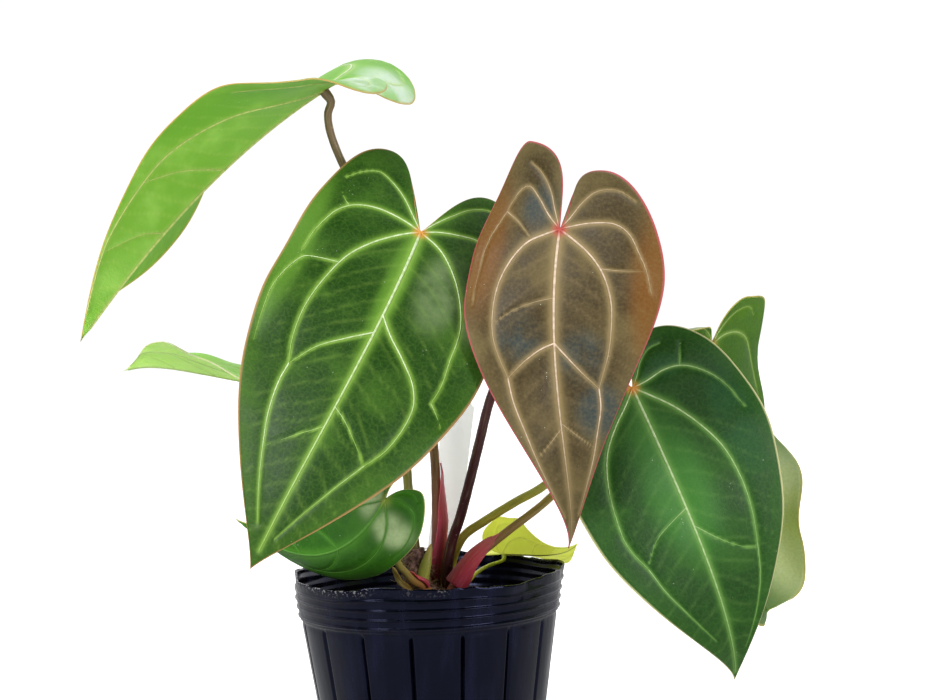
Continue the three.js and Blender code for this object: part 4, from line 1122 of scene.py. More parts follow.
def tube_piece(name, path, radius_at, sides, material, replaces):
    """A round closed tube along a path, in millimetres, with flat ends."""
    lengths = np.concatenate([[0], np.cumsum(np.linalg.norm(np.diff(path, axis=0), axis=1))])
    shares = lengths / lengths[-1]
    angles = np.linspace(0, 2 * math.pi, sides, endpoint=False)
    points = rings_round(path, angles, radius_at(shares, lengths, lengths[-1]))
    faces = ring_faces(len(path), sides, 0, False)
    around = np.tile(angles, len(path))
    flat = np.column_stack([np.cos(around) * 1.5, np.repeat(lengths, sides), np.sin(around) * 1.5]) * MM
    marks = {"along": np.repeat(shares, sides), "flat": flat}
    return make_piece(name, points.reshape(-1, 3), faces, [material], replaces, None, marks)


def stalk_path(name):
    """A stalk's smooth line, its last stretch square to the underside of its blade."""
    stalk = STALKS[name]
    leaf = LEAVES[name]
    radius = stalk["radii"][1]
    places, normals = Blade(leaf).at(np.array([(0.0, radius)]))
    fold = max(0, -leaf["right"]["fold"], -leaf["left"]["fold"])
    clear = 0.15 + radius * math.tan(math.radians(fold))
    ends = [places[0] - normals[0] * 3.5 * radius, places[0] - normals[0] * clear]
    return smooth_path([*stalk["points"], *ends], 1.2)


def pot_radius(height):
    """The wall's radius under the collar's step, in millimetres."""
    share = height / POT["height"]
    return POT["base_radius"] + (POT["rim_radius"] - POT["collar_step"] - POT["base_radius"]) * share


def hashed(values, seed):
    """Even random numbers from 0 to 1 that depend only on whole numbers and a seed."""
    return np.modf(np.abs(np.sin(values * 12.9898 + seed * 78.233) * 43758.5453))[0]


def rough_line(angles, bumps, seed):
    """Smooth random heights round a circle, with that many bumps."""
    at = (angles / (2 * math.pi) % 1) * bumps
    whole = np.floor(at)
    share = smooth_step(at - whole, 0, 1)
    return hashed(whole % bumps, seed) * (1 - share) + hashed((whole + 1) % bumps, seed) * share - 0.5


class PotSettings(bpy.types.PropertyGroup):
    """The pot."""

    wall: bpy.props.FloatProperty(
        name="Wall", description="Thickness of the pot's wall", default=0.7 * MM, unit="LENGTH")
    ridge: bpy.props.FloatProperty(
        name="Ridge", description="Height of the collar's ridges", default=0.55 * MM, unit="LENGTH")
    groove: bpy.props.FloatProperty(
        name="Groove", description="Depth of the grooves", default=1.5 * MM, unit="LENGTH")
    wave: bpy.props.FloatProperty(
        name="Rim wave", description="How far the rim bends in and out", default=0.7 * MM,
        unit="LENGTH")
    tear: bpy.props.FloatProperty(
        name="Tear", description="Depth of the tears in the rim", default=0.9 * MM, unit="LENGTH")
    roughness: bpy.props.FloatProperty(
        name="Roughness", description="Roughness of the plastic", default=0.17, min=0, max=1)
    color: bpy.props.FloatVectorProperty(
        name="Colour", description="Colour of the plastic", subtype="COLOR", size=4,
        default=linear("#03040c"))


class LeafSettings(bpy.types.PropertyGroup):
    """The blades."""

    thickness: bpy.props.FloatProperty(
        name="Thickness", description="Thickness of a blade", default=0.5 * MM, unit="LENGTH")
    vein_height: bpy.props.FloatProperty(
        name="Vein height", description="How far the midrib stands proud above", default=0.22 * MM,
        unit="LENGTH")
    rib_height: bpy.props.FloatProperty(
        name="Rib height", description="How far the midrib stands proud below", default=0.7 * MM,
        unit="LENGTH")
    pillow: bpy.props.FloatProperty(
        name="Pillow", description="How far the blade swells between its veins", default=0.55 * MM,
        unit="LENGTH")
    net_size: bpy.props.FloatProperty(
        name="Net size", description="Spacing of the finest veins", default=2.6 * MM, unit="LENGTH")
    velvet: bpy.props.FloatProperty(
        name="Velvet", description="Sheen of the blade's velvety cells", default=0.03, min=0, max=1)
    glow: bpy.props.FloatProperty(
        name="Glow", description="Share of light that spreads inside a thin blade", default=0.6,
        min=0, max=1)
    roughness: bpy.props.FloatProperty(
        name="Roughness", description="Roughness of the upper face", default=0.5, min=0, max=1)


class StalkSettings(bpy.types.PropertyGroup):
    """The stalks, sheaths and new growth."""

    sides: bpy.props.IntProperty(
        name="Sides", description="Sides of a stalk's round section", default=20, min=8)
    knee: bpy.props.FloatProperty(
        name="Knee", description="Swelling of a stalk just below its blade", default=0.3, min=0)
    foot: bpy.props.FloatProperty(
        name="Foot", description="Swelling of a stalk at its foot", default=0.25, min=0)


class MixSettings(bpy.types.PropertyGroup):
    """The potting mix and the crown."""

    bark_size: bpy.props.FloatProperty(
        name="Bark", description="Length of a bark chip", default=7 * MM, unit="LENGTH")
    bark_count: bpy.props.IntProperty(
        name="Bark chips", description="Chips that lie on the mix", default=330, min=1)
    perlite_size: bpy.props.FloatProperty(
        name="Perlite", description="Width of a perlite grain", default=3 * MM, unit="LENGTH")
    perlite_count: bpy.props.IntProperty(
        name="Perlite grains", description="Grains that lie on the mix", default=90, min=1)
    fibre_length: bpy.props.FloatProperty(
        name="Fibre", description="Length of a coir fibre", default=11 * MM, unit="LENGTH")
    fibre_count: bpy.props.IntProperty(
        name="Fibres", description="Coir fibres that lie on the mix", default=150, min=1)
    hair_count: bpy.props.IntProperty(
        name="Crown fibres", description="Dry fibres on the crown", default=260, min=1)
    seed: bpy.props.IntProperty(name="Seed", description="Seed of what is scattered", default=4)


class StageSettings(bpy.types.PropertyGroup):
    """The studio."""

    backdrop: bpy.props.FloatProperty(
        name="Backdrop", description="Brightness behind the plant", default=1.05, min=0)
    room: bpy.props.FloatProperty(
        name="Room", description="Brightness on the viewer's side", default=0.1, min=0)
    key: bpy.props.FloatProperty(
        name="Key light", description="Power of the light at the upper left", default=10.5,
        unit="POWER")
    fill: bpy.props.FloatProperty(
        name="Fill light", description="Power of the light at the right", default=6.0,
        unit="POWER")


class ANTHURIUM_OT_stage(bpy.types.Operator):
    """Makes the pale floor, the soft studio light and the camera"""

    bl_idname = "anthurium.stage"
    bl_label = "Stage"

    def execute(self, context):
        settings = context.scene.anthurium_stage
        self.add_floor()
        self.add_world(context, settings)
        middle = Vector((20 * MM, 0, 150 * MM))
        self.add_light("key_light", (-0.55, -0.75, 0.8), middle, 0.55, settings.key)
        self.add_light("fill_light", (0.75, -0.8, 0.3), middle, 0.5, settings.fill)
        self.add_camera(context)
        return {"FINISHED"}

    def add_floor(self):
        material, tree, shader = new_material("white_paper_floor", {
            "Base Color": linear("#d2d2d2"), "Roughness": 0.9, "Emission Color": (1, 1, 1, 1)})
        place = add_node(tree, "ShaderNodeTexCoord").outputs["Object"]
        far = add_node(tree, "ShaderNodeVectorMath", {"operation": "LENGTH"}, {0: place})
        seen = add_node(tree, "ShaderNodeLightPath").outputs["Is Camera Ray"]
        glow = add_node(tree, "ShaderNodeMath", {"operation": "MULTIPLY"},
                        {0: seen, 1: grown(tree, far.outputs["Value"], 0.06, 0.25)})
        tree.links.new(glow.outputs[0], shader.inputs["Emission Strength"])
        mesh = bpy.data.meshes.new("floor")
        reach = 6.0
        corners = [(-reach, -reach, 0), (reach, -reach, 0), (reach, reach, 0), (-reach, reach, 0)]
        mesh.from_pydata(corners, [], [(0, 1, 2, 3)])
        mesh.materials.append(material)
        linked("floor", mesh)

    def add_world(self, context, settings):
        """White behind the plant, and dimmer on the viewer's side, as in a studio."""
        world = bpy.data.worlds.new("studio")
        context.scene.world = world
        world.use_nodes = True
        tree = world.node_tree
        tree.nodes.clear()
        way = add_node(tree, "ShaderNodeTexCoord").outputs["Generated"]
        parts = add_node(tree, "ShaderNodeSeparateXYZ", links={"Vector": way})
        lit = grown(tree, parts.outputs["Y"], -0.25, 0.45, settings.room, settings.backdrop)
        seen = add_node(tree, "ShaderNodeLightPath").outputs["Is Camera Ray"]
        shown = add_node(tree, "ShaderNodeMix", {"data_type": "FLOAT"},
                         {0: seen, 2: lit, 3: settings.backdrop})
        back = add_node(tree, "ShaderNodeBackground",
                        links={"Color": (1, 1, 1, 1), "Strength": shown.outputs[0]})
        add_node(tree, "ShaderNodeOutputWorld", links={"Surface": back.outputs["Background"]})
        context.scene.view_settings.view_transform = "Standard"

    def add_light(self, name, place, target, size, power):
        light = bpy.data.lights.new(name, "AREA")
        light.shape = "DISK"
        light.size = size
        light.energy = power
        lamp = linked(name, light)
        lamp.location = place
        lamp.rotation_euler = (target - Vector(place)).to_track_quat("-Z", "Y").to_euler()

    def add_camera(self, context):
        pitch = math.radians(CAMERA["pitch"])
        roll = math.radians(CAMERA["roll"])
        forward = Vector((0, math.cos(pitch), -math.sin(pitch)))
        level = Vector((1, 0, 0))
        upright = level.cross(forward)
        right = level * math.cos(roll) - upright * math.sin(roll)
        up = level * math.sin(roll) + upright * math.cos(roll)
        data = bpy.data.cameras.new("camera")
        data.sensor_width = CAMERA["sensor"]
        data.lens = CAMERA["lens"]
        data.clip_start = 0.01
        camera = linked("camera", data)
        turn = Matrix((right, up, -forward)).transposed().to_4x4()
        camera.matrix_world = Matrix.Translation(Vector(CAMERA["place"]) * MM) @ turn
        context.scene.camera = camera


class ANTHURIUM_OT_pot(bpy.types.Operator):
    """Makes the thin black nursery pot, with its ridged collar, grooves and torn rim"""

    bl_idname = "anthurium.pot"
    bl_label = "Pot"

    def execute(self, context):
        settings = context.scene.anthurium_pot
        angles = self.ring_angles()
        outside, inside = self.profiles(settings)
        rings = [self.ring(angles, settings, *row) for row in outside + inside]
        count = len(angles)
        points = np.vstack(rings)
        faces = ring_faces(len(rings), count, 0, False)[:-2]
        rim = np.repeat([row[4] for row in outside + inside], count)
        points, faces, rim = self.close_floor(points, faces, rim, len(rings), count)
        piece = make_piece("nursery_pot", points, faces, [black_polyethylene(settings)],
                           ("pot",), None, {"rim": rim})
        self.drill(piece)
        return {"FINISHED"}

    def ring_angles(self):
        """Angles round the pot, closer together at each groove."""
        step = 2 * math.pi / POT["grooves"]
        half = math.radians(POT["groove_half_width"])
        near = half * np.array((-1.6, -1.2, -0.9, -0.6, -0.3, 0, 0.3, 0.6, 0.9, 1.2, 1.6))
        far = np.linspace(1.6 * half, step - 1.6 * half, 16)[1:-1]
        first = math.radians(POT["first_groove"])
        return np.concatenate([first + i * step + np.concatenate([near, far])
                               for i in range(POT["grooves"])])

    def profiles(self, settings):
        """Rows of the wall: height, offset, how deep the grooves are, wave and scuffing."""
        foot = POT["height"] - POT["collar_height"]
        ridge = settings.ridge / MM
        step = POT["collar_step"]
        wall = settings.wall / MM
        outside = [(0, -1.2, 1, 0, 0), (0.3, -0.5, 1, 0, 0), (1.4, 0, 1, 0, 0)]
        outside += [(z, 0, 1, 0, 0) for z in np.linspace(6, foot - 4, 12)]
        outside += [(foot - 2.6, 0, 0.9, 0, 0), (foot - 1.8, 0, 0.5, 0, 0), (foot - 1.1, 0, 0.1, 0, 0),
                    (foot - 0.5, 0.05, 0, 0, 0), (foot - 0.1, 0.4, 0, 0, 0), (foot + 0.2, step, 0, 0, 0)]
        spread = POT["ridge_half_width"]
        for drop in reversed(POT["ridge_drops"]):
            top = POT["height"] - drop
            for at in (-1.5, -1, -0.6, -0.25, 0, 0.25, 0.6, 1, 1.5):
                lift = ridge * max(0.0, math.cos(at * math.pi / 2.2)) ** 1.5 if abs(at) < 1.1 else 0
                z = top + at * spread
                outside.append((z, step + lift, 0, self.wave_at(z), 0))
        for z in (-2.6, -1.7, -0.9, -0.4):
            outside.append((POT["height"] + z, step, 0, self.wave_at(POT["height"] + z), 1 + z / 3))
        outside.append((POT["height"], step - 0.2, 0, 1, 1))
        inside = [(POT["height"], step + 0.2 - wall, 0, 1, 1)]
        for z in np.linspace(POT["height"] - 0.6, foot + 0.5, 20):
            dip = 0.25 * math.sin(z * 1.8)
            inside.append((z, step - wall + dip, 0, self.wave_at(z), max(0.0, 1 - (POT["height"] - z) / 2)))
        inside += [(foot - 0.8, -wall, 0, 0, 0), (foot - 3, -wall, 1, 0, 0)]
        inside += [(z, -wall, 1, 0, 0) for z in np.linspace(foot - 10, 4, 8)]
        inside.append((POT["floor"], -wall - 0.8, 1, 0, 0))
        return outside, inside

    def wave_at(self, z):
        """How much the rim's wave shows, from 0 at the collar's foot to 1 at the rim."""
        return float(smooth_step(np.array(z), POT["height"] - 9, POT["height"]))

    def ring(self, angles, settings, z, offset, groove, wave, scuff):
        """One row of the wall, with its grooves, bulged panels, wave and tears."""
        step = 2 * math.pi / POT["grooves"]
        half = math.radians(POT["groove_half_width"])
        place = (angles - math.radians(POT["first_groove"])) % step
        gap = np.minimum(place, step - place)
        depth = np.clip(1 - gap / half, 0, 1) ** 1.2 * settings.groove / MM
        bulge = POT["panel_bulge"] * np.sin(math.pi * place / step) ** 0.7 * np.where(gap > half, 1, 0)
        ripple = wave * settings.wave / MM
        radius = pot_radius(z) + offset - groove * (depth - bulge)
        radius += ripple * (np.sin(5 * angles + 1) + 0.6 * np.sin(11 * angles))
        height = z + ripple * (0.8 * np.sin(4 * angles + 2) + 0.5 * np.sin(9 * angles))
        tears = rough_line(angles, 61, 3) + 0.7 * rough_line(angles, 140, 5)
        height = height - scuff ** 2 * np.clip(tears, -0.2, 1) * settings.tear / MM
        radius = radius + scuff * 0.5 * rough_line(angles, 83, 9)
        radius = radius + 0.12 * (1 - groove * 0.5) * rough_line(angles + 0.01 * z, 40, int(z // 3))
        return np.column_stack([radius * np.cos(angles), radius * np.sin(angles), height])

    def close_floor(self, points, faces, rim, rings, count):
        """Closes the underside and the inside of the floor with a fan to a middle point."""
        middle = len(points)
        points = np.vstack([points, [(0, 0, 0), (0, 0, POT["floor"])]])
        top = (rings - 1) * count
        for j in range(count):
            k = (j + 1) % count
            faces.append((middle, k, j))
            faces.append((middle + 1, top + j, top + k))
        return points, faces, np.append(rim, (0, 0))

    def drill(self, piece):
        """Cuts the drain holes through the floor."""
        cutters = bpy.data.collections.new("drill")
        bpy.context.scene.collection.children.link(cutters)
        drills = []
        for i in range(POT["hole_count"]):
            turn = 2 * math.pi * i / POT["hole_count"]
            sides = 24
            ring = np.linspace(0, 2 * math.pi, sides, endpoint=False)
            x = POT["hole_circle"] * math.cos(turn) + POT["hole_radius"] * np.cos(ring)
            y = POT["hole_circle"] * math.sin(turn) + POT["hole_radius"] * np.sin(ring)
            low = np.column_stack([x, y, np.full(sides, -2.0)])
            high = np.column_stack([x, y, np.full(sides, 2.0 * POT["floor"])])
            mesh = bpy.data.meshes.new("drill")
            mesh.from_pydata((np.vstack([low, high]) * MM).tolist(), [], ring_faces(2, sides, 0, False))
            drill = bpy.data.objects.new("drill", mesh)
            cutters.objects.link(drill)
            drills.append(drill)
        cut = piece.modifiers.new("drain_holes", "BOOLEAN")
        cut.operand_type = "COLLECTION"
        cut.collection = cutters
        cut.solver = "EXACT"
        made_plain(piece)
        for drill in drills:
            bpy.data.objects.remove(drill)
        bpy.data.collections.remove(cutters)


def lumps(x, y):
    """The mix's low mounds."""
    return np.sin(x * 0.55 + 1.3) * np.cos(y * 0.62) + 0.7 * np.sin(x * 0.31 - y * 0.83)


def scatter_tree(name, chips, material, align):
    """A node tree that strews chips over a surface, with inputs for their number, size and seed."""
    tree = bpy.data.node_groups.new(name, "GeometryNodeTree")
    face = tree.interface
    face.new_socket("Surface", in_out="INPUT", socket_type="NodeSocketGeometry")
    face.new_socket("Count", in_out="INPUT", socket_type="NodeSocketInt")
    face.new_socket("Size", in_out="INPUT", socket_type="NodeSocketFloat")
    face.new_socket("Lift", in_out="INPUT", socket_type="NodeSocketFloat")
    face.new_socket("Seed", in_out="INPUT", socket_type="NodeSocketInt")
    face.new_socket("Pieces", in_out="OUTPUT", socket_type="NodeSocketGeometry")
    given = add_node(tree, "NodeGroupInput").outputs
    area = add_node(tree, "GeometryNodeAttributeStatistic", {"domain": "FACE"}, {
        "Geometry": given["Surface"],
        2: add_node(tree, "GeometryNodeInputMeshFaceArea").outputs["Area"],
    })
    density = add_node(tree, "ShaderNodeMath", {"operation": "DIVIDE"},
                       {0: given["Count"], 1: area.outputs["Sum"]})
    strewn = add_node(tree, "GeometryNodeDistributePointsOnFaces", links={
        "Mesh": given["Surface"], "Density": density.outputs[0], "Seed": given["Seed"]})
    kinds = add_node(tree, "GeometryNodeGeometryToInstance")
    for chip in chips:
        info = add_node(tree, "GeometryNodeObjectInfo", links={"Object": chip})
        tree.links.new(info.outputs["Geometry"], kinds.inputs["Geometry"])
    spin = add_node(tree, "FunctionNodeRandomValue", {"data_type": "FLOAT_VECTOR"}, {
        0: (-align, -align, -math.pi), 1: (align, align, math.pi), "Seed": given["Seed"]})
    scale = add_node(tree, "FunctionNodeRandomValue", {"data_type": "FLOAT"},
                     {2: 0.45, 3: 1.15, "Seed": given["Seed"]})
    sized = add_node(tree, "ShaderNodeMath", {"operation": "MULTIPLY"},
                     {0: scale.outputs[1], 1: given["Size"]})
    turned_up = add_node(tree, "FunctionNodeRotateRotation", {"rotation_space": "LOCAL"}, {
        0: strewn.outputs["Rotation"], 1: spin.outputs[0]})
    laid = add_node(tree, "GeometryNodeInstanceOnPoints", links={
        "Points": strewn.outputs["Points"], "Instance": kinds.outputs["Instances"],
        "Pick Instance": True, "Rotation": turned_up.outputs[0], "Scale": sized.outputs[0]})
    rise = add_node(tree, "ShaderNodeCombineXYZ", links={"Z": given["Lift"]})
    raised = add_node(tree, "GeometryNodeTranslateInstances", links={
        "Instances": laid.outputs["Instances"], "Translation": rise.outputs["Vector"]})
    plain = add_node(tree, "GeometryNodeRealizeInstances", links={
        "Geometry": raised.outputs["Instances"]})
    finish = add_node(tree, "GeometryNodeSetMaterial", links={
        "Geometry": plain.outputs["Geometry"], "Material": material})
    add_node(tree, "NodeGroupOutput", links={"Pieces": finish.outputs["Geometry"]})
    return tree


def strew(name, surface, chips, material, count, size, lift, seed, align):
    """Strews chips over a surface and keeps them as one plain mesh."""
    tree = scatter_tree(f"strew_{name}", chips, material, align)
    holder = linked(name, surface)
    modifier = holder.modifiers.new("strew", "NODES")
    modifier.node_group = tree
    values = {"Count": count, "Size": size, "Lift": lift, "Seed": seed}
    for item in tree.interface.items_tree:
        if item.item_type == "SOCKET" and item.in_out == "INPUT" and item.name in values:
            modifier[item.identifier] = values[item.name]
    made_plain(holder)
    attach(holder, BODY)
    for chip in chips:
        bpy.data.objects.remove(chip)


def broken_chip(name, size, seed, rough):
    """A closed broken lump, one unit long, as an object to strew."""
    rng = np.random.default_rng(seed)
    rings = 5
    sides = 7
    points = []
    for i in range(rings):
        tall = -1 + 2 * (i + 0.5) / rings
        wide = math.sqrt(1 - (0.85 * tall) ** 2)
        for j in range(sides):
            turn = 2 * math.pi * j / sides
            jitter = 1 + rough * rng.uniform(-1, 1)
            points.append((tall * size[0] / 2, wide * jitter * size[1] / 2 * math.cos(turn),
                           wide * jitter * size[2] / 2 * math.sin(turn)))
    mesh = bpy.data.meshes.new(name)
    mesh.from_pydata(points, [], ring_faces(rings, sides, 0, False))
    mesh.shade_smooth()
    mesh.set_sharp_from_angle(angle=math.radians(35))
    return linked(name, mesh)


def bent_fibre(name, radius, seed, rise):
    """A closed bent fibre, one unit long, as an object to strew."""
    rng = np.random.default_rng(seed)
    sides = 5
    share = np.linspace(0, 1, 12)
    bend = rng.uniform(-1, 1, 4)
    if rise:
        path = np.column_stack([0.3 * bend[0] * share ** 2, 0.3 * bend[1] * share ** 2 * (1 - share),
                                share * 0.8])
    else:
        path = np.column_stack([share - 0.5, 0.25 * bend[0] * np.sin(3 * share + bend[1]),
                                0.1 * np.sin(math.pi * share) * (1 + bend[2])])
    angles = np.linspace(0, 2 * math.pi, sides, endpoint=False)
    points = rings_round(path, angles, radius * (1 - 0.6 * share))
    mesh = bpy.data.meshes.new(name)
    mesh.from_pydata(points.reshape(-1, 3).tolist(), [], ring_faces(len(path), sides, 0, False))
    mesh.shade_smooth()
    return linked(name, mesh)


class ANTHURIUM_OT_potting_mix(bpy.types.Operator):
    """Fills the pot with bark, coir and perlite"""

    bl_idname = "anthurium.potting_mix"
    bl_label = "Potting mix"

    def execute(self, context):
        settings = context.scene.anthurium_mix
        top = POT["height"] - MIX["drop"]
        rings, sides = 34, 120
        shares = np.linspace(1, 0.01, rings)
        angles = np.linspace(0, 2 * math.pi, sides, endpoint=False)
        wide = pot_radius(top) - 2.6
        x = wide * shares[:, None] * np.cos(angles)
        y = wide * shares[:, None] * np.sin(angles)
        grit = 0.35 * np.sin(2.1 * x + 1.7 * np.cos(1.9 * y)) * np.cos(2.3 * y + x)
        level = top - MIX["edge_drop"] * shares[:, None] ** 2
        z = level + (MIX["relief"] * lumps(x, y) + grit) * (1 - shares[:, None] ** 6)
        surface = np.column_stack([x.ravel(), y.ravel(), z.ravel()])
        body = []
        for height, inset in ((POT["floor"] + 0.4, 3.5), (POT["floor"] + 3, 2.6), (top - 6, 2.6)):
            radius = pot_radius(height) - inset
            body.append(np.column_stack([radius * np.cos(angles), radius * np.sin(angles),
                                         np.full(sides, height)]))
        points = np.vstack([*body, surface])
        faces = ring_faces(rings + len(body), sides, 0, False)
        soil = rough_matter("bark_dust_and_coir", ("#150f0b", "#2b1c12", "#4a3320"), 0.0016, 0.95, 0.0008)
        make_piece("potting_ground", points, faces, [soil], ("potting_mix",))
        self.strew_top(settings, surface, rings, sides)
        return {"FINISHED"}

    def strew_top(self, settings, surface, rings, sides):
        """Chips, grains and fibres over the open top, clear of the crown and the wall."""
        def patch(name, widest):
            mesh = bpy.data.meshes.new(name)
            faces = ring_faces(rings, sides, 0, False)[:-2]
            reach = np.linalg.norm(surface[:, :2], axis=1)
            apart = np.linalg.norm(surface[:, :2] - (CROWN["profile"][0][2], CROWN["y"]), axis=1)
            kept = [face for face in faces
                    if max(reach[list(face)]) < widest and min(apart[list(face)]) > 12.5]
            mesh.from_pydata((surface * MM).tolist(), [], kept)
            return mesh
        bark = rough_matter("pine_bark", ("#1b110b", "#3c2416", "#6a4328", "#8a6038"), 0.0022, 0.85, 0.0006)
        chips = [broken_chip(f"bark_{i}", (1, 0.62, 0.34), 20 + i, 0.35) for i in range(3)]
        strew("bark_chips", patch("bark_ground", 43), chips, bark, settings.bark_count,
              settings.bark_size, 0.6 * MM, settings.seed, 0.5)
        white = rough_matter("perlite", ("#b9b4a8", "#dcd8ce", "#f4f2ec"), 0.0011, 0.9, 0.0003)
        grains = [broken_chip(f"perlite_{i}", (1, 0.9, 0.8), 40 + i, 0.3) for i in range(2)]
        strew("perlite_grains", patch("perlite_ground", 44), grains, white,
              settings.perlite_count, settings.perlite_size, 0.7 * MM, settings.seed + 1, 1.5)
        coir = rough_matter("coir_fibre", ("#4a3018", "#7a5730", "#a88350"), 0.003, 0.8, 0.0002)
        fibres = [bent_fibre(f"coir_{i}", 0.016, 60 + i, False) for i in range(4)]
        strew("coir_fibres", patch("coir_ground", 41), fibres, coir, settings.fibre_count,
              settings.fibre_length, 1.2 * MM, settings.seed + 2, 0.25)


class ANTHURIUM_OT_crown(bpy.types.Operator):
    """Makes the short stem, with the rings of old stalks and its dry fibres"""

    bl_idname = "anthurium.crown"
    bl_label = "Crown"

    def execute(self, context):
        settings = context.scene.anthurium_mix
        heights, radii, middles = np.array(CROWN["profile"], float).T
        levels = np.linspace(heights[0], heights[-1], 54)
        sides = 64
        angles = np.linspace(0, 2 * math.pi, sides, endpoint=False)
        ring = []
        for level in levels:
            radius = np.interp(level, heights, radii)
            reach = radius + 0.5 * np.sin(3 * angles + level * 0.7)
            reach = reach + 0.5 * rough_line(angles, 17, int(level * 0.8)) * min(1, radius / 5)
            reach = reach + 0.25 * math.sin(level * 3.1)
            middle = np.interp(level, heights, middles)
            ring.append(np.column_stack([middle + reach * np.cos(angles),
                                         CROWN["y"] + reach * np.sin(angles),
                                         level + 0.4 * rough_line(angles, 11, 2)]))
        points = np.vstack(ring)
        faces = ring_faces(len(levels), sides, 0, False)
        cork = rough_matter("corky_stem", ("#2c1a1a", "#5c403e", "#86625c", "#b09080"), 0.0016, 0.8, 0.0006)
        make_piece("stem_base", points, faces, [cork], ("crown",))
        surface = bpy.data.meshes.new("fibre_ground")
        high = points[:, 2] > 75
        kept = [face for face in faces[:-2] if all(high[list(face)])]
        surface.from_pydata((points * MM).tolist(), [], kept)
        dry = rough_matter("dry_fibre", ("#6b4c34", "#a07c58", "#cbb08a"), 0.003, 0.75, 0.0002)
        fibres = [bent_fibre(f"dry_{i}", 0.028, 80 + i, True) for i in range(5)]
        strew("crown_fibres", surface, fibres, dry, settings.hair_count,
              5.5 * MM, 0, settings.seed + 3, 1.1)
        return {"FINISHED"}


class ANTHURIUM_OT_leaves(bpy.types.Operator):
    """Makes the eight blades with their veins"""

    bl_idname = "anthurium.leaves"
    bl_label = "Leaves"

    def execute(self, context):
        for name in LEAVES:
            leaf_piece(name, context.scene.anthurium_leaf)
        return {"FINISHED"}


class ANTHURIUM_OT_stalks(bpy.types.Operator):
    """Makes the eight stalks"""

    bl_idname = "anthurium.stalks"
    bl_label = "Stalks"

    def execute(self, context):
        settings = context.scene.anthurium_stalk
        for name, stalk in STALKS.items():
            foot, top = stalk["radii"]

            def radius_at(shares, lengths, whole, foot=foot, top=top):
                radii = foot + (top - foot) * shares
                knee = settings.knee * np.exp(-((whole - lengths) / (3 * top)) ** 2)
                swollen = settings.foot * np.exp(-((lengths - 6) / 9) ** 2)
                return radii * (1 + knee + swollen + 0.015 * np.sin(lengths * 0.9))

            material = stalk_tissue(f"petiole_skin_{name}", stalk["colors"])
            tube_piece(f"petiole_{name}", stalk_path(name), radius_at, settings.sides, material,
                       (f"stalk_{name}",))
        return {"FINISHED"}


class ANTHURIUM_OT_sheaths(bpy.types.Operator):
    """Makes the thin red sheaths at the feet of three stalks"""

    bl_idname = "anthurium.sheaths"
    bl_label = "Sheaths"

    def execute(self, context):
        for name, sheath in SHEATHS.items():
            self.wrap(name, sheath)
        return {"FINISHED"}

    def wrap(self, name, sheath):
        """A thin sheet that follows its stalk and narrows to its tip."""
        path = smooth_path(stalk_path(name), 0.5)
        first = int(np.argmax(path[:, 2] >= sheath["low"]))
        last = int(np.argmax(path[:, 2] >= sheath["high"]))
        steps, spread = 60, 24
        rows = np.linspace(first, last, steps + 1)
        tangents = unit(np.gradient(path, axis=0))
        front = np.array(sheath["facing"], float)
        shares = np.linspace(0, 1, steps + 1)
        knots = np.linspace(0, 1, len(sheath["radii"]))
        radii = np.interp(shares, knots, sheath["radii"])
        wide, narrow = sheath["half_angles"]
        points, flat = [], []
        for i, row in enumerate(rows):
            centre = path[int(row)]
            tangent = tangents[int(row)]
            facing = unit(front - tangent * (front @ tangent))
            aside = np.cross(tangent, facing)
            half = math.radians(wide + (narrow - wide) * shares[i] ** 1.5)
            half *= 1 + 0.1 * math.sin(9 * shares[i] + 1) - (0.6 * smooth_step(shares[i], 0.85, 1.0))
            angles = np.linspace(-half, half, spread + 1)
            out = np.cos(angles)[:, None] * facing + np.sin(angles)[:, None] * aside
            curl = 0.35 * (np.abs(angles) / half) ** 3
            points.append(centre + out * (radii[i] + curl)[:, None])
            flat.append(np.column_stack([angles * radii[i], np.full(spread + 1, i * 0.6), 0 * angles]))
        points = np.array(points)
        normals = unit(-np.cross(np.gradient(points, axis=0), np.gradient(points, axis=1)))
        grid = np.arange(points.shape[0] * points.shape[1]).reshape(points.shape[:2])
        a, b, c, d = (part.ravel() for part in (grid[:-1, :-1], grid[:-1, 1:], grid[1:, 1:], grid[1:, :-1]))
        triangles = np.vstack([np.column_stack([a, b, c]), np.column_stack([a, c, d])])
        middle = points.reshape(-1, 3)
        lift = normals.reshape(-1, 3) * (SHEATH_THICKNESS / 2)
        outward = np.sum(normals.reshape(-1, 3)[0] * (middle[0] - path[first]))
        if outward < 0:
            lift = -lift
        count = len(middle)
        faces = closed_sheet(triangles, count)
        along = np.repeat(shares, spread + 1)
        marks = {"along": np.tile(along, 2), "flat": np.tile(np.vstack(flat) * MM, (2, 1))}
        material = stalk_tissue(f"sheath_skin_{name}", sheath["colors"], 0.42)
        make_piece(f"wrap_{name}", np.vstack([middle + lift, middle - lift]), faces, [material],
                   (f"sheath_{name}",), None, marks)


class ANTHURIUM_OT_new_growth(bpy.types.Operator):
    """Makes the new shoot and the spent bract beside it"""

    bl_idname = "anthurium.new_growth"
    bl_label = "New growth"

    def execute(self, context):
        for name, node, growth in (("new_shoot", "bud", BUD), ("spent_bract", "bract", BRACT)):
            knots = np.linspace(0, 1, len(growth["radii"]))

            def radius_at(shares, lengths, whole, growth=growth, knots=knots):
                return np.interp(shares, knots, growth["radii"]) * (1 - smooth_step(shares, 0.9, 1.05))

            material = stalk_tissue(f"{name}_skin", growth["colors"])
            path = smooth_path(growth["points"], 0.5)
            tube_piece(name, path, radius_at, 24, material, (node,))
        return {"FINISHED"}


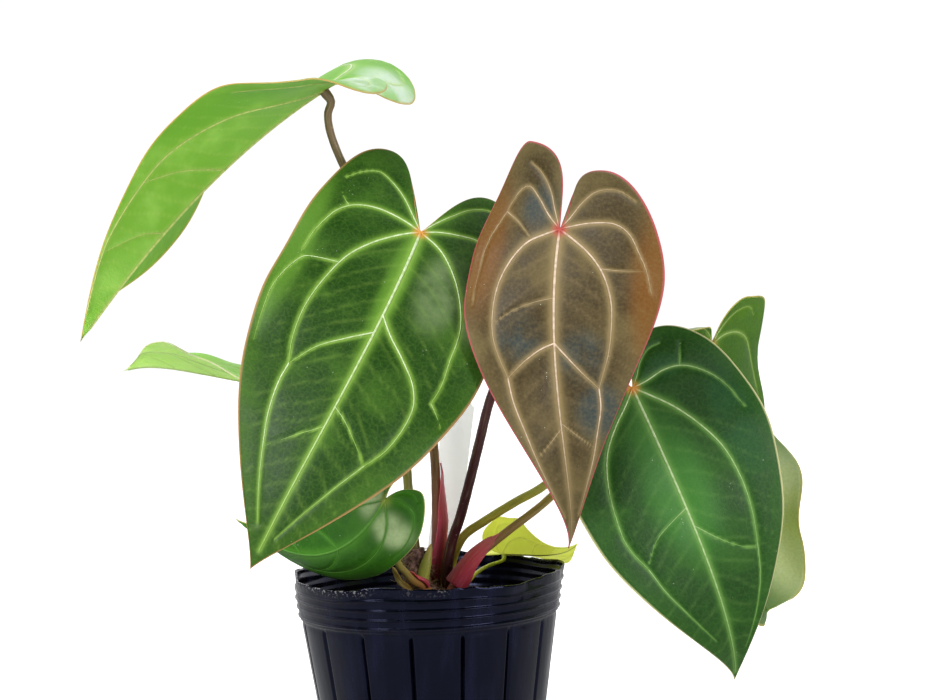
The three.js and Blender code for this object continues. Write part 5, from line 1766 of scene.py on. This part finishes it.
class ANTHURIUM_OT_tag(bpy.types.Operator):
    """Gives the blank plant tag its white plastic, with a faint painted glow"""

    bl_idname = "anthurium.tag"
    bl_label = "Plant tag"

    def execute(self, context):
        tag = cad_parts["plant_tag"]
        tag.data.materials.clear()
        tag.data.materials.append(polystyrene_with_painted_glow())
        return {"FINISHED"}


class ANTHURIUM_PT_panel(bpy.types.Panel):
    """Lists the plant's settings and steps"""

    bl_idname = "ANTHURIUM_PT_panel"
    bl_label = "Potted anthurium"
    bl_space_type = "VIEW_3D"
    bl_region_type = "UI"
    bl_category = "Anthurium"

    def draw(self, context):
        for key, group in SETTINGS.items():
            box = self.layout.box()
            box.label(text=group.__doc__)
            for name in group.__annotations__:
                box.prop(getattr(context.scene, key), name)
        for operator in OPERATORS:
            self.layout.operator(operator.bl_idname)


SETTINGS = {
    "anthurium_stage": StageSettings,
    "anthurium_pot": PotSettings,
    "anthurium_mix": MixSettings,
    "anthurium_leaf": LeafSettings,
    "anthurium_stalk": StalkSettings,
}
OPERATORS = (
    ANTHURIUM_OT_stage,
    ANTHURIUM_OT_pot,
    ANTHURIUM_OT_potting_mix,
    ANTHURIUM_OT_crown,
    ANTHURIUM_OT_leaves,
    ANTHURIUM_OT_stalks,
    ANTHURIUM_OT_sheaths,
    ANTHURIUM_OT_new_growth,
    ANTHURIUM_OT_tag,
)


def register():
    for kind in (*SETTINGS.values(), *OPERATORS, ANTHURIUM_PT_panel):
        bpy.utils.register_class(kind)
    for key, group in SETTINGS.items():
        setattr(bpy.types.Scene, key, bpy.props.PointerProperty(type=group))


def unregister():
    for key in SETTINGS:
        delattr(bpy.types.Scene, key)
    for kind in reversed((*SETTINGS.values(), *OPERATORS, ANTHURIUM_PT_panel)):
        bpy.utils.unregister_class(kind)


def main():
    register()
    bpy.ops.anthurium.stage()
    bpy.ops.anthurium.pot()
    bpy.ops.anthurium.potting_mix()
    bpy.ops.anthurium.crown()
    bpy.ops.anthurium.leaves()
    bpy.ops.anthurium.stalks()
    bpy.ops.anthurium.sheaths()
    bpy.ops.anthurium.new_growth()
    bpy.ops.anthurium.tag()


if __name__ == "__main__":
    main()
